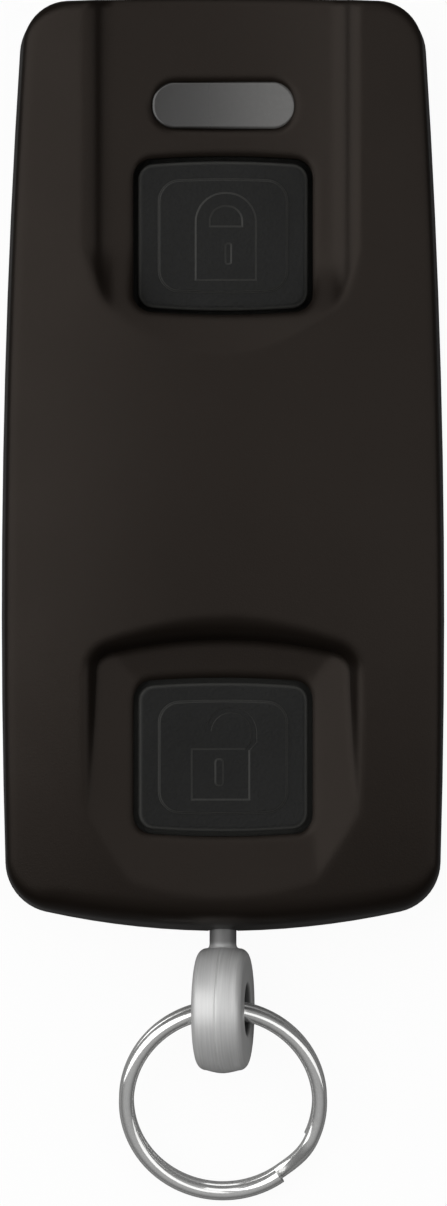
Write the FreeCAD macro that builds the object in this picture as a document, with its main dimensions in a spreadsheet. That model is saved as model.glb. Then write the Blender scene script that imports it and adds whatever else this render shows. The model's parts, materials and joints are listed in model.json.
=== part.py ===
import FreeCAD, Part
import math
import os

import Sketcher

# A pocket remote for a smart lock, lying on its back.
# X runs across the case, Y along it towards the status window, Z out of the front.
# The origin is the middle of the flat back. Every length is in millimetres.

SIZES = {
    # Case outline at the parting line
    "case_width": 33.34,
    "top_end": 35.0,
    "bottom_end": 35.0,
    "widest_station": -11.0,
    "side_radius": 650.0,
    "top_end_radius": 350.0,
    "bottom_end_radius": 62.0,
    "top_corner_radius": 3.8,
    "bottom_corner_radius": 3.9,
    # Case section
    "crown_over_frame": 3.25,
    "parting_height": 5.2,
    "wall": 1.4,
    "crown_station": 5.0,
    "crown_across_radius": 110.0,
    "crown_along_radius": 220.0,
    "front_side_lean": 0.5,
    "front_top_lean": 0.25,
    "front_bottom_lean": 1.5,
    "rear_lean": 1.1,
    "rear_wall": 1.3,
    "front_side_round": 0.7,
    "front_top_round": 0.5,
    "front_bottom_round": 2.2,
    "back_round": 1.8,
    "seam_chamfer": 0.15,
    "lip_height": 1.0,
    "lip_gap": 0.05,
    # Finger scoops round the two keys
    "scoop_width": 20.9,
    "scoop_ceiling_width": 22.4,
    "upper_scoop_depth": 2.05,
    "upper_scoop_wall": 1.4,
    "shoulder_lift": 0.02,
    "lower_scoop_wall": 1.2,
    "upper_scoop_hollow_radius": 75.0,
    "upper_scoop_end": 16.4,
    "scoop_foot_radius": 1.7,
    "scoop_roll_radius": 1.5,
    "scoop_lift_radius": 9.0,
    "scoop_lift_angle": 25.0,
    "bridge_slope": 13.0,
    "lower_scoop_start": -13.3,
    "lower_scoop_arch_radius": 36.0,
    "lower_scoop_corner": 1.3,
    "lower_scoop_roll": 2.2,
    "lower_scoop_width": 18.8,
    "lower_scoop_tilt": 6.0,
    "lower_scoop_lift": 0.03,
    "lower_well_depth": 1.5,
    "funnel_rise": 0.95,
    "funnel_side_run": 6.0,
    "funnel_top_run": 7.3,
    "funnel_bottom_run": 60.0,
    # Keys and their openings
    "lock_station": 17.12,
    "unlock_station": -21.82,
    "key_width": 12.7,
    "key_length": 11.2,
    "key_gap": 0.35,
    "key_arch_radius": 70.0,
    "key_corner": 1.1,
    "key_thickness": 0.7,
    "key_recess": 0.15,
    "key_edge_round": 0.35,
    "key_panel_margin": 1.55,
    "key_panel_height": 0.22,
    "key_panel_corner": 1.3,
    "key_panel_bevel": 0.12,
    "key_travel": 0.45,
    "nib_diameter": 3.2,
    "plunger_gap": 0.28,
    # Rubber mat under the front shell
    "mat_width": 17.8,
    "mat_top_end": 24.3,
    "mat_bottom_end": 29.2,
    "mat_corner": 2.0,
    "mat_over_switch": 0.7,
    "mat_thickness": 0.6,
    "mat_rim": 1.2,
    "web_width": 0.4,
    "web_reach": 0.75,
    "web_height": 0.75,
    "web_overlap": 0.1,
    "rim_thickness": 0.6,
    "rim_height": 3.0,
    "rim_offset": 0.95,
    "seat_gap": 0.05,
    # Status window
    "window_station": 26.85,
    "window_length": 10.7,
    "window_width": 3.56,
    "window_gap": 0.06,
    "window_proud": 0.25,
    "window_round": 0.18,
    "light_guide_gap": 0.25,
    "window_flange": 0.5,
    "window_flange_thickness": 0.6,
    "light_guide_diameter": 2.4,
    # Circuit board and what it carries
    "board_thickness": 0.8,
    "board_margin": 2.7,
    "board_top_end": 27.6,
    "board_bottom_end": 29.4,
    "switch_side": 6.0,
    "switch_height": 1.5,
    "plunger_diameter": 3.0,
    "plunger_proud": 0.25,
    "plunger_travel": 0.22,
    "plunger_bore_depth": 0.95,
    "plunger_clearance": 0.05,
    "plunger_bottom_gap": 0.03,
    "plunger_bevel": 0.15,
    "switch_corner": 0.5,
    "led_length": 3.0,
    "led_width": 1.5,
    "led_height": 0.8,
    "controller_side": 6.0,
    "radio_side": 4.0,
    "chip_height": 0.85,
    "crystal_length": 3.2,
    "crystal_width": 2.5,
    "crystal_height": 0.7,
    "small_part_length": 1.0,
    "small_part_width": 0.5,
    "small_part_height": 0.45,
    "small_part_pitch": 1.3,
    "chip_bevel": 0.1,
    "controller_left": 3.6,
    "controller_station": 4.0,
    "radio_right": 4.6,
    "radio_station": -3.0,
    "crystal_station": 2.6,
    "small_row_left": 6.6,
    "capacitor_station": -4.0,
    "resistor_station": -8.5,
    "antenna_wire": 0.8,
    "antenna_length": 24.0,
    "antenna_height": 1.6,
    "antenna_bend": 1.0,
    "antenna_mat_gap": 1.0,
    # Coin cell and its holder, a CR2032
    "cell_diameter": 20.0,
    "cell_height": 3.2,
    "cell_land_diameter": 17.6,
    "cell_step": 0.35,
    "cell_station": -1.0,
    "cell_clearance": 0.2,
    "holder_wall": 1.3,
    "holder_lift": 0.5,
    "contact_thickness": 0.2,
    "contact_width": 5.0,
    "contact_gap": 0.03,
    "contact_side_gap": 0.15,
    "contact_floor_gap": 0.19,
    "negative_contact_diameter": 8.0,
    # Screws and their bosses
    "screw_spread": 22.4,
    "screw_station": 30.1,
    "screw_diameter": 1.7,
    "screw_head_diameter": 3.2,
    "screw_head_height": 1.0,
    "screw_recess": 0.35,
    "screw_length": 8.0,
    "screw_head_bevel": 0.25,
    "screw_point": 0.6,
    "screw_point_diameter": 0.6,
    "screw_cross_width": 0.45,
    "screw_cross_length": 1.9,
    "screw_cross_depth": 0.55,
    "screw_head_clearance": 0.15,
    "screw_clearance": 0.1,
    "boss_diameter": 4.2,
    "pilot_clearance": 0.03,
    "board_post_diameter": 2.0,
    "board_post_spread": 24.6,
    "board_post_station": 14.0,
    # Swivel eyelet
    "eyelet_station": -40.9,
    "eyelet_diameter": 9.65,
    "eyelet_thickness": 3.8,
    "eyelet_round": 0.45,
    "eyelet_bore": 3.4,
    "eyelet_bore_chamfer": 0.35,
    "eyelet_turn": 7.5,
    "stem_diameter": 2.03,
    "stem_clearance": 0.1,
    "stem_flare": 0.5,
    "stem_flare_length": 0.65,
    "collar_diameter": 3.8,
    "collar_length": 0.9,
    "collar_gap": 0.1,
    "collar_inset": 2.2,
    "saddle_thickness": 1.0,
    "saddle_width": 6.4,
    "stem_tail": 0.3,
    # Split ring
    "ring_diameter": 15.74,
    "ring_wire_width": 1.13,
    "ring_wire_height": 0.92,
    "ring_wire_bevel": 0.28,
    "ring_turn_gap": 0.06,
    "ring_cross_station": -39.0,
    "ring_cross_span": 15.0,
}

# How far a cutter runs past what it cuts, and the least corner that an inset outline keeps.
PAST = 2.0
LEAST_CORNER = 0.6

SMALL_PARTS_IN_ROW = 6
RING_CROSS_STEPS = 6

ROLE_OF = {"XY": "XY_Plane", "XZ": "XZ_Plane", "YZ": "YZ_Plane"}

doc = FreeCAD.newDocument("lock_remote")


def write_sheet():
    """Puts every driving size in one column of the sheet, each under its own name."""
    page = doc.addObject("Spreadsheet::Sheet", "Sizes")
    for row, (name, number) in enumerate(SIZES.items(), start=1):
        page.set(f"A{row}", name)
        page.set(f"B{row}", str(number))
        page.setAlias(f"B{row}", name)
    doc.recompute()
    return page


class Size:
    """A number worked out from the sheet, with the formula that keeps a feature bound to it."""

    def __init__(self, number, formula):
        self.number = float(number)
        self.formula = formula

    def joined(self, sign, other, swapped=False):
        first, second = (of(other), self) if swapped else (self, of(other))
        results = {
            "+": first.number + second.number,
            "-": first.number - second.number,
            "*": first.number * second.number,
        }
        number = results[sign] if sign in results else first.number / second.number
        return Size(number, f"({first.formula} {sign} {second.formula})")

    def __add__(self, other):
        return self.joined("+", other)

    def __radd__(self, other):
        return self.joined("+", other, swapped=True)

    def __sub__(self, other):
        return self.joined("-", other)

    def __rsub__(self, other):
        return self.joined("-", other, swapped=True)

    def __mul__(self, other):
        return self.joined("*", other)

    def __rmul__(self, other):
        return self.joined("*", other, swapped=True)

    def __truediv__(self, other):
        return self.joined("/", other)

    def __neg__(self):
        return Size(-self.number, f"(0 - {self.formula})")


def of(value):
    """A bare number seen as a size."""
    return value if isinstance(value, Size) else Size(value, repr(float(value)))


class Sheet:
    """Reads sizes by name: s.wall is the wall's number and its formula."""

    def __getattr__(self, name):
        return Size(SIZES[name], f"Sizes.{name}")


sheet_page = write_sheet()
s = Sheet()


def bind(feature, prop, size):
    """Sets a property and keeps it bound to the sheet."""
    size = of(size)
    feature.setExpression(prop, size.formula)


def vector(x, y, z=0.0):
    return FreeCAD.Vector(of(x).number, of(y).number, of(z).number)


# Sketches

def new_body(label):
    body = doc.addObject("PartDesign::Body", label)
    body.Label = label
    return body


def new_sketch(body, name, plane="XY", height=0.0):
    """A sketch on one of the body's own planes, moved along that plane's normal."""
    sketch = body.newObject("Sketcher::SketchObject", name)
    role = ROLE_OF[plane]
    support = [f for f in body.Origin.OriginFeatures if f.Role == role][0]
    sketch.AttachmentSupport = (support, [""])
    sketch.MapMode = "FlatFace"
    bind(sketch, "AttachmentOffset.Base.z", height)
    return sketch


def pin(sketch, kind, geometry, place, size):
    """Ties one coordinate of a point to the sheet, measured from the sketch's origin."""
    size = of(size)
    if size.number == 0.0 and size.formula == "0.0":
        axis = -2 if kind == "DistanceX" else -1
        sketch.addConstraint(Sketcher.Constraint("PointOnObject", geometry, place, axis))
        return
    rule = Sketcher.Constraint(kind, -1, 1, geometry, place, size.number)
    index = sketch.addConstraint(rule)
    sketch.setExpression(f"Constraints[{index}]", size.formula)


def pin_point(sketch, geometry, place, x, y):
    pin(sketch, "DistanceX", geometry, place, x)
    pin(sketch, "DistanceY", geometry, place, y)


def set_radius(sketch, geometry, size):
    index = sketch.addConstraint(Sketcher.Constraint("Radius", geometry, of(size).number))
    sketch.setExpression(f"Constraints[{index}]", of(size).formula)


def circle(sketch, x, y, radius):
    ring = Part.Circle(vector(x, y), FreeCAD.Vector(0, 0, 1), of(radius).number)
    index = sketch.addGeometry(ring)
    pin_point(sketch, index, 3, x, y)
    set_radius(sketch, index, radius)
    return index


def polygon(sketch, corners):
    """A closed outline of straight runs, each corner's place bound to the sheet."""
    first = sketch.GeometryCount
    count = len(corners)
    for start, end in zip(corners, corners[1:] + corners[:1]):
        sketch.addGeometry(Part.LineSegment(vector(*start), vector(*end)))
    for step in range(count):
        following = first + (step + 1) % count
        sketch.addConstraint(Sketcher.Constraint("Coincident", first + step, 2, following, 1))
    for step, (x, y) in enumerate(corners):
        pin_point(sketch, first + step, 1, x, y)


def rectangle(sketch, x, y, width, length):
    """A rectangle about a middle point."""
    left, right = x - width / 2, x + width / 2
    low, high = y - length / 2, y + length / 2
    polygon(sketch, [(left, low), (right, low), (right, high), (left, high)])


def arc_about(centre, radius, start, end):
    """An arc drawn anticlockwise from one point to another."""
    angle = [math.atan2(p[1] - centre[1], p[0] - centre[0]) for p in (start, end)]
    ring = Part.Circle(FreeCAD.Vector(centre[0], centre[1], 0), FreeCAD.Vector(0, 0, 1), radius)
    return Part.ArcOfCircle(ring, angle[0], angle[1])


def meet(first, first_reach, second, second_reach, towards):
    """The point at given distances from two middles, on the side looked towards."""
    dx, dy = second[0] - first[0], second[1] - first[1]
    apart = math.hypot(dx, dy)
    along = (first_reach ** 2 - second_reach ** 2 + apart ** 2) / (2 * apart)
    across = math.sqrt(max(first_reach ** 2 - along ** 2, 0.0))
    middle = (first[0] + dx * along / apart, first[1] + dy * along / apart)
    shift = (-dy * across / apart, dx * across / apart)
    found = [(middle[0] + k * shift[0], middle[1] + k * shift[1]) for k in (1, -1)]
    return max(found, key=lambda c: c[0] * towards[0] + c[1] * towards[1])


def touch_point(centre, radius, inner):
    """Where an arc about an inner middle touches a larger arc."""
    dx, dy = inner[0] - centre[0], inner[1] - centre[1]
    apart = math.hypot(dx, dy)
    return (centre[0] + dx * radius / apart, centre[1] + dy * radius / apart)


def arc_loop(sketch, arcs):
    """A closed outline of arcs, anticlockwise, each tangent to the next.

    Each arc is its middle, its radius and whether its middle is tied to the sheet.
    """
    count = len(arcs)
    numbers = [((of(a[0]).number, of(a[1]).number), of(a[2]).number) for a in arcs]
    joints = []
    for step in range(count):
        (here, r_here), (there, r_there) = numbers[step], numbers[(step + 1) % count]
        if r_here > r_there:
            joints.append(touch_point(here, r_here, there))
        else:
            joints.append(touch_point(there, r_there, here))
    first = sketch.GeometryCount
    for step, (centre, radius) in enumerate(numbers):
        sketch.addGeometry(arc_about(centre, radius, joints[step - 1], joints[step]))
    for step in range(count):
        following = first + (step + 1) % count
        sketch.addConstraint(Sketcher.Constraint("Tangent", first + step, 2, following, 1))
    for step, (x, y, radius, tied) in enumerate(arcs):
        set_radius(sketch, first + step, radius)
        if tied:
            pin_point(sketch, first + step, 3, x, y)


def case_outline(sketch, inset=0.0, top=None, bottom=None, flatter=0.0):
    """The case seen from the front: four long arcs and four corner arcs."""
    top = s.top_end if top is None else top
    bottom = s.bottom_end if bottom is None else bottom
    half = s.case_width / 2 - inset
    side = s.side_radius - inset
    upper = s.top_end_radius - inset
    lower = s.bottom_end_radius + flatter - inset
    high_corner = s.top_corner_radius - inset
    low_corner = s.bottom_corner_radius - inset
    if high_corner.number < LEAST_CORNER:
        high_corner = of(LEAST_CORNER)
    if low_corner.number < LEAST_CORNER:
        low_corner = of(LEAST_CORNER)
    right = (half - side, s.widest_station)
    left = (side - half, s.widest_station)
    above = (of(0), top - inset - upper)
    below = (of(0), lower + inset - bottom)

    def corner(a, a_radius, b, b_radius, radius, towards):
        spots = [(p[0].number, p[1].number) for p in (a, b)]
        return meet(spots[0], (a_radius - radius).number, spots[1], (b_radius - radius).number,
                    towards)

    top_right = corner(right, side, above, upper, high_corner, (1, 1))
    bottom_right = corner(right, side, below, lower, low_corner, (1, -1))
    arcs = [
        (right[0], right[1], side, True),
        (top_right[0], top_right[1], high_corner, False),
        (above[0], above[1], upper, True),
        (-top_right[0], top_right[1], high_corner, False),
        (left[0], left[1], side, True),
        (-bottom_right[0], bottom_right[1], low_corner, False),
        (below[0], below[1], lower, True),
        (bottom_right[0], bottom_right[1], low_corner, False),
    ]
    arc_loop(sketch, arcs)


def key_outline(sketch, station, grow=0.0, corner=None):
    """A key's rounded square, whose two short edges bow outwards a little."""
    half_width = s.key_width / 2 + grow
    half_length = s.key_length / 2 + grow
    bow = s.key_arch_radius + grow
    corner = s.key_corner + grow if corner is None else corner
    w, l, r, c = (v.number for v in (half_width, half_length, bow, of(corner)))
    y = station.number
    drop = r - math.sqrt((r - c) ** 2 - (w - c) ** 2)
    corner_y = l - drop
    tips = [touch_point((0, l - r), r, (sign * (w - c), corner_y)) for sign in (1, -1)]
    low_tips = [(x, -v) for x, v in tips]
    first = sketch.GeometryCount

    def line(x, start, end):
        sketch.addGeometry(Part.LineSegment(FreeCAD.Vector(x, y + start, 0),
                                            FreeCAD.Vector(x, y + end, 0)))

    def arc(cx, cy, radius, start, end):
        shifted = [(p[0], p[1] + y) for p in (start, end)]
        sketch.addGeometry(arc_about((cx, cy + y), radius, shifted[0], shifted[1]))

    line(w, -corner_y, corner_y)
    arc(w - c, corner_y, c, (w, corner_y), tips[0])
    arc(0, l - r, r, tips[0], tips[1])
    arc(c - w, corner_y, c, tips[1], (-w, corner_y))
    line(-w, corner_y, -corner_y)
    arc(c - w, -corner_y, c, (-w, -corner_y), low_tips[1])
    arc(0, r - l, r, low_tips[1], low_tips[0])
    arc(w - c, -corner_y, c, low_tips[0], (w, -corner_y))
    for step in range(8):
        following = first + (step + 1) % 8
        sketch.addConstraint(Sketcher.Constraint("Tangent", first + step, 2, following, 1))
    for step in (0, 4):
        sketch.addConstraint(Sketcher.Constraint("Vertical", first + step))
    pin(sketch, "DistanceX", first, 1, half_width)
    pin(sketch, "DistanceX", first + 4, 1, -half_width)
    for step in (1, 3, 5, 7):
        set_radius(sketch, first + step, corner)
    set_radius(sketch, first + 2, bow)
    set_radius(sketch, first + 6, bow)
    pin_point(sketch, first + 2, 3, 0.0, station + half_length - bow)
    pin_point(sketch, first + 6, 3, 0.0, station - half_length + bow)


def round_rectangle(sketch, y, width, length, corner):
    """A rectangle with rounded corners, about a point on the case's middle line."""
    w, l, c = (of(v).number for v in (width / 2, length / 2, corner))
    m = of(y).number
    first = sketch.GeometryCount
    quarter = math.pi / 2
    spots = [(w - c, l - c), (c - w, l - c), (c - w, c - l), (w - c, c - l)]
    runs = [((w, c - l), (w, l - c)), ((w - c, l), (c - w, l)),
            ((-w, l - c), (-w, c - l)), ((c - w, -l), (w - c, -l))]
    for turn, (spot, (start, end)) in enumerate(zip(spots, runs)):
        sketch.addGeometry(Part.LineSegment(FreeCAD.Vector(start[0], start[1] + m, 0),
                                            FreeCAD.Vector(end[0], end[1] + m, 0)))
        ring = Part.Circle(FreeCAD.Vector(spot[0], spot[1] + m, 0), FreeCAD.Vector(0, 0, 1), c)
        sketch.addGeometry(Part.ArcOfCircle(ring, turn * quarter, (turn + 1) * quarter))
    for step in range(8):
        following = first + (step + 1) % 8
        sketch.addConstraint(Sketcher.Constraint("Tangent", first + step, 2, following, 1))
    for step, way in ((0, "Vertical"), (2, "Horizontal"), (4, "Vertical"), (6, "Horizontal")):
        sketch.addConstraint(Sketcher.Constraint(way, first + step))
    pin(sketch, "DistanceX", first, 1, width / 2)
    pin(sketch, "DistanceX", first + 4, 1, -(width / 2))
    pin(sketch, "DistanceY", first + 2, 1, y + length / 2)
    pin(sketch, "DistanceY", first + 6, 1, y - length / 2)
    for step in (1, 3, 5, 7):
        set_radius(sketch, first + step, corner)


def slot_outline(sketch, y, length, width):
    """A pill shape that lies across the case."""
    radius = width / 2
    reach = length / 2 - radius
    x, r, m = reach.number, radius.number, of(y).number
    first = sketch.GeometryCount
    right = Part.Circle(FreeCAD.Vector(x, m, 0), FreeCAD.Vector(0, 0, 1), r)
    left = Part.Circle(FreeCAD.Vector(-x, m, 0), FreeCAD.Vector(0, 0, 1), r)
    sketch.addGeometry(Part.ArcOfCircle(right, -math.pi / 2, math.pi / 2))
    sketch.addGeometry(Part.LineSegment(FreeCAD.Vector(x, m + r, 0), FreeCAD.Vector(-x, m + r, 0)))
    sketch.addGeometry(Part.ArcOfCircle(left, math.pi / 2, 3 * math.pi / 2))
    sketch.addGeometry(Part.LineSegment(FreeCAD.Vector(-x, m - r, 0), FreeCAD.Vector(x, m - r, 0)))
    for step in range(4):
        following = first + (step + 1) % 4
        sketch.addConstraint(Sketcher.Constraint("Tangent", first + step, 2, following, 1))
    pin_point(sketch, first, 3, reach, y)
    pin_point(sketch, first + 2, 3, -reach, y)
    set_radius(sketch, first, radius)


# Features

def pad(body, sketch, length, name="Pad", down=False, both=False):
    feature = body.newObject("PartDesign::Pad", name)
    feature.Profile = sketch
    bind(feature, "Length", length)
    feature.Reversed = down
    feature.Midplane = both
    return feature


def pocket(body, sketch, depth, name="Pocket", up=False):
    feature = body.newObject("PartDesign::Pocket", name)
    feature.Profile = sketch
    bind(feature, "Length", depth)
    feature.Reversed = up
    return feature


def revolve(body, sketch, axis, angle=360.0, name="Revolution", back=False):
    feature = body.newObject("PartDesign::Revolution", name)
    feature.Profile = sketch
    feature.ReferenceAxis = (sketch, [axis])
    bind(feature, "Angle", angle)
    feature.Reversed = back
    return feature


def loft(body, first, second, name="Loft"):
    feature = body.newObject("PartDesign::AdditiveLoft", name)
    feature.Profile = first
    feature.Sections = [second]
    feature.Ruled = True
    return feature


def edge_names(shape, wanted):
    """The names of the edges whose middle passes a test."""
    names = []
    for number, edge in enumerate(shape.Edges, start=1):
        middle = edge.valueAt((edge.FirstParameter + edge.LastParameter) / 2)
        if wanted(edge, middle):
            names.append(f"Edge{number}")
    return names


def round_edges(body, radius, wanted, name="Fillet", kind="PartDesign::Fillet"):
    """Rounds or bevels the edges of the body's last feature that pass a test."""
    doc.recompute()
    base = body.Tip
    feature = body.newObject(kind, name)
    feature.Base = (base, edge_names(base.Shape, wanted))
    bind(feature, "Radius" if kind.endswith("Fillet") else "Size", radius)
    return feature


def near(value, size, slack=0.02):
    return abs(value - of(size).number) < slack


def cut(name, base, tool):
    feature = doc.addObject("Part::Cut", name)
    feature.Base, feature.Tool = base, tool
    return feature


def common(name, base, tool):
    feature = doc.addObject("Part::Common", name)
    feature.Base, feature.Tool = base, tool
    return feature


def fuse(name, shapes):
    feature = doc.addObject("Part::MultiFuse", name)
    feature.Shapes = shapes
    return feature


def cut_all(name, shape, cutters):
    """Takes each cutter from a shape in turn, and gives back the last result."""
    for number, cutter in enumerate(cutters, start=1):
        shape = cut(f"{name}_{number}", shape, cutter)
    return shape


def cylinder(name, radius, height, x=0.0, y=0.0, z=0.0, along="Z"):
    post = doc.addObject("Part::Cylinder", name)
    bind(post, "Radius", radius)
    bind(post, "Height", height)
    for axis, size in (("x", x), ("y", y), ("z", z)):
        bind(post, f"Placement.Base.{axis}", size)
    if along == "Y":
        post.Placement.Rotation = FreeCAD.Rotation(FreeCAD.Vector(1, 0, 0), -90)
    return post


def block(name, width, length, height, x=0.0, y=0.0, z=0.0):
    """A box about a middle point in X and Y, standing on z."""
    box = doc.addObject("Part::Box", name)
    bind(box, "Length", width)
    bind(box, "Width", length)
    bind(box, "Height", height)
    bind(box, "Placement.Base.x", x - of(width) / 2)
    bind(box, "Placement.Base.y", y - of(length) / 2)
    bind(box, "Placement.Base.z", z)
    return box


def pipe(body, profile, spine, name="Pipe"):
    feature = body.newObject("PartDesign::AdditivePipe", name)
    feature.Profile = profile
    feature.Spine = (spine, [])
    return feature


def placed_angle(feature, axis, angle):
    """Turns a whole object about one of the frame's axes, by an angle bound to the sheet."""
    for key, part in zip("xyz", axis):
        bind(feature, f"Placement.Rotation.Axis.{key}", part)
    bind(feature, "Placement.Rotation.Angle", angle)


# Places worked out from the sizes

def places():
    """Heights and stations that several pieces share."""
    at = {}
    at["cell_bottom"] = (s.rear_wall + s.contact_floor_gap + s.contact_thickness
                         + s.contact_gap)
    at["cell_top"] = at["cell_bottom"] + s.cell_height
    at["board_height"] = at["cell_top"] + s.contact_gap + s.contact_thickness
    at["board_top"] = at["board_height"] + s.board_thickness
    at["switch_top"] = at["board_top"] + s.switch_height
    at["plunger_top"] = at["switch_top"] + s.plunger_proud
    at["nib_bottom"] = at["plunger_top"] + s.plunger_gap
    at["mat_top"] = at["switch_top"] + s.mat_over_switch
    at["key_underside"] = at["mat_top"] + s.web_height
    at["unlock_rim"] = at["key_underside"] + s.key_thickness
    at["frame_height"] = at["unlock_rim"] + s.key_recess
    at["unlock_ceiling"] = at["frame_height"] - s.lower_scoop_wall
    at["case_height"] = at["frame_height"] + s.crown_over_frame
    at["shoulder"] = (at["case_height"] + s.shoulder_lift
                      - s.scoop_width * s.scoop_width / (s.crown_across_radius * 8))
    at["upper_floor"] = at["case_height"] - s.upper_scoop_depth
    at["lock_ceiling"] = at["upper_floor"] - s.upper_scoop_wall
    at["lock_rim"] = at["upper_floor"] - s.key_recess
    at["rim_bottom"] = at["mat_top"] + s.seat_gap
    at["cell_radius"] = s.cell_diameter / 2
    at["holder_radius"] = at["cell_radius"] + s.cell_clearance + s.holder_wall
    at["lip_bottom"] = s.parting_height - s.lip_height
    at["collar_start"] = s.collar_inset - s.bottom_end
    at["saddle_start"] = at["collar_start"] + s.collar_length + s.collar_gap
    at["antenna_x"] = -(s.mat_width / 2 + s.antenna_mat_gap + s.antenna_wire / 2)
    at["ring_half_height"] = s.ring_wire_height + s.ring_turn_gap / 2
    at["ring_radius"] = (s.ring_diameter - s.ring_wire_width) / 2
    return at


at = places()


# Front shell

def crown_solid(name, drop=0.0):
    """All under the front surface: a shallow arch across that falls towards the ring end."""
    reach = s.case_width / 2 + 3
    body = new_body(name)
    sketch = new_sketch(body, name + "_arch", "XZ", -s.crown_station)
    radius = s.crown_across_radius - drop
    middle = at["case_height"] - s.crown_across_radius
    rise = math.sqrt(radius.number ** 2 - reach.number ** 2)
    ends = [(reach.number, middle.number + rise), (-reach.number, middle.number + rise)]
    sketch.addGeometry(arc_about((0.0, middle.number), radius.number, ends[0], ends[1]))
    sketch.addGeometry(Part.LineSegment(vector(*ends[1]), vector(-reach, -2)))
    sketch.addGeometry(Part.LineSegment(vector(-reach, -2), vector(reach, -2)))
    sketch.addGeometry(Part.LineSegment(vector(reach, -2), vector(*ends[0])))
    for step in range(4):
        sketch.addConstraint(Sketcher.Constraint("Coincident", step, 2, (step + 1) % 4, 1))
    pin_point(sketch, 0, 3, 0.0, middle)
    set_radius(sketch, 0, radius)
    pin(sketch, "DistanceX", 0, 1, reach)
    pin(sketch, "DistanceX", 0, 2, -reach)
    pin_point(sketch, 2, 1, -reach, -2.0)
    pin_point(sketch, 2, 2, reach, -2.0)
    axis = sketch.addGeometry(Part.LineSegment(vector(-5, 0), vector(5, 0)), True)
    height = at["case_height"] - s.crown_along_radius
    pin_point(sketch, axis, 1, -5.0, height)
    pin_point(sketch, axis, 2, 5.0, height)
    pad(body, sketch, s.top_end - s.crown_station + 2, name + "_straight", down=True)
    sweep = (s.bottom_end + s.crown_station + 2) / s.crown_along_radius * (180 / math.pi)
    revolve(body, sketch, "Axis0", sweep, name + "_falling")
    return body


def front_walls(name, inset, low, chamfer=None):
    """The front's leaning side walls, between an outline at the seam and one at the crown."""
    body = new_body(name)
    if chamfer is not None:
        seam = new_sketch(body, name + "_seam", "XY", low)
        case_outline(seam, inset + chamfer)
        low = low + chamfer
    foot = new_sketch(body, name + "_foot", "XY", low)
    case_outline(foot, inset)
    head = new_sketch(body, name + "_head", "XY", at["case_height"])
    case_outline(
        head,
        inset + s.front_side_lean,
        s.top_end - s.front_top_lean + s.front_side_lean,
        s.bottom_end - s.front_bottom_lean + s.front_side_lean,
        flatter=30.0,
    )
    if chamfer is not None:
        loft(body, seam, foot, name + "_bevel")
    loft(body, foot, head, name + "_loft")
    return body


def perimeter_rounds(blank):
    """Edge number and the two radii of each front edge: sharper at the window end."""
    doc.recompute()
    picked = []
    for number, edge in enumerate(blank.Shape.Edges, start=1):
        ends = [vertex.Point for vertex in edge.Vertexes]
        if len(ends) < 2 or min(p.z for p in ends) < s.parting_height.number + 2:
            continue
        if all(abs(p.y - s.crown_station.number) < 0.01 for p in ends):
            continue
        first = edge.valueAt(edge.FirstParameter)
        last = edge.valueAt(edge.LastParameter)
        picked.append((number, edge_round(first), edge_round(last)))
    return picked


def edge_round(point):
    """The radius of the front edge at a point of the outline."""
    if s.top_end.number - point.y < s.top_corner_radius.number / 2:
        return s.front_top_round.number
    if s.bottom_end.number + point.y < s.bottom_corner_radius.number:
        return s.front_bottom_round.number
    return s.front_side_round.number


def front_blank():
    walls = front_walls("front_walls", 0.0, s.parting_height, s.seam_chamfer)
    plain = common("front_plain", walls, crown_solid("crown"))
    blank = doc.addObject("Part::Fillet", "front_rounded")
    blank.Base = plain
    blank.Edges = perimeter_rounds(plain)
    return blank


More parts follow.
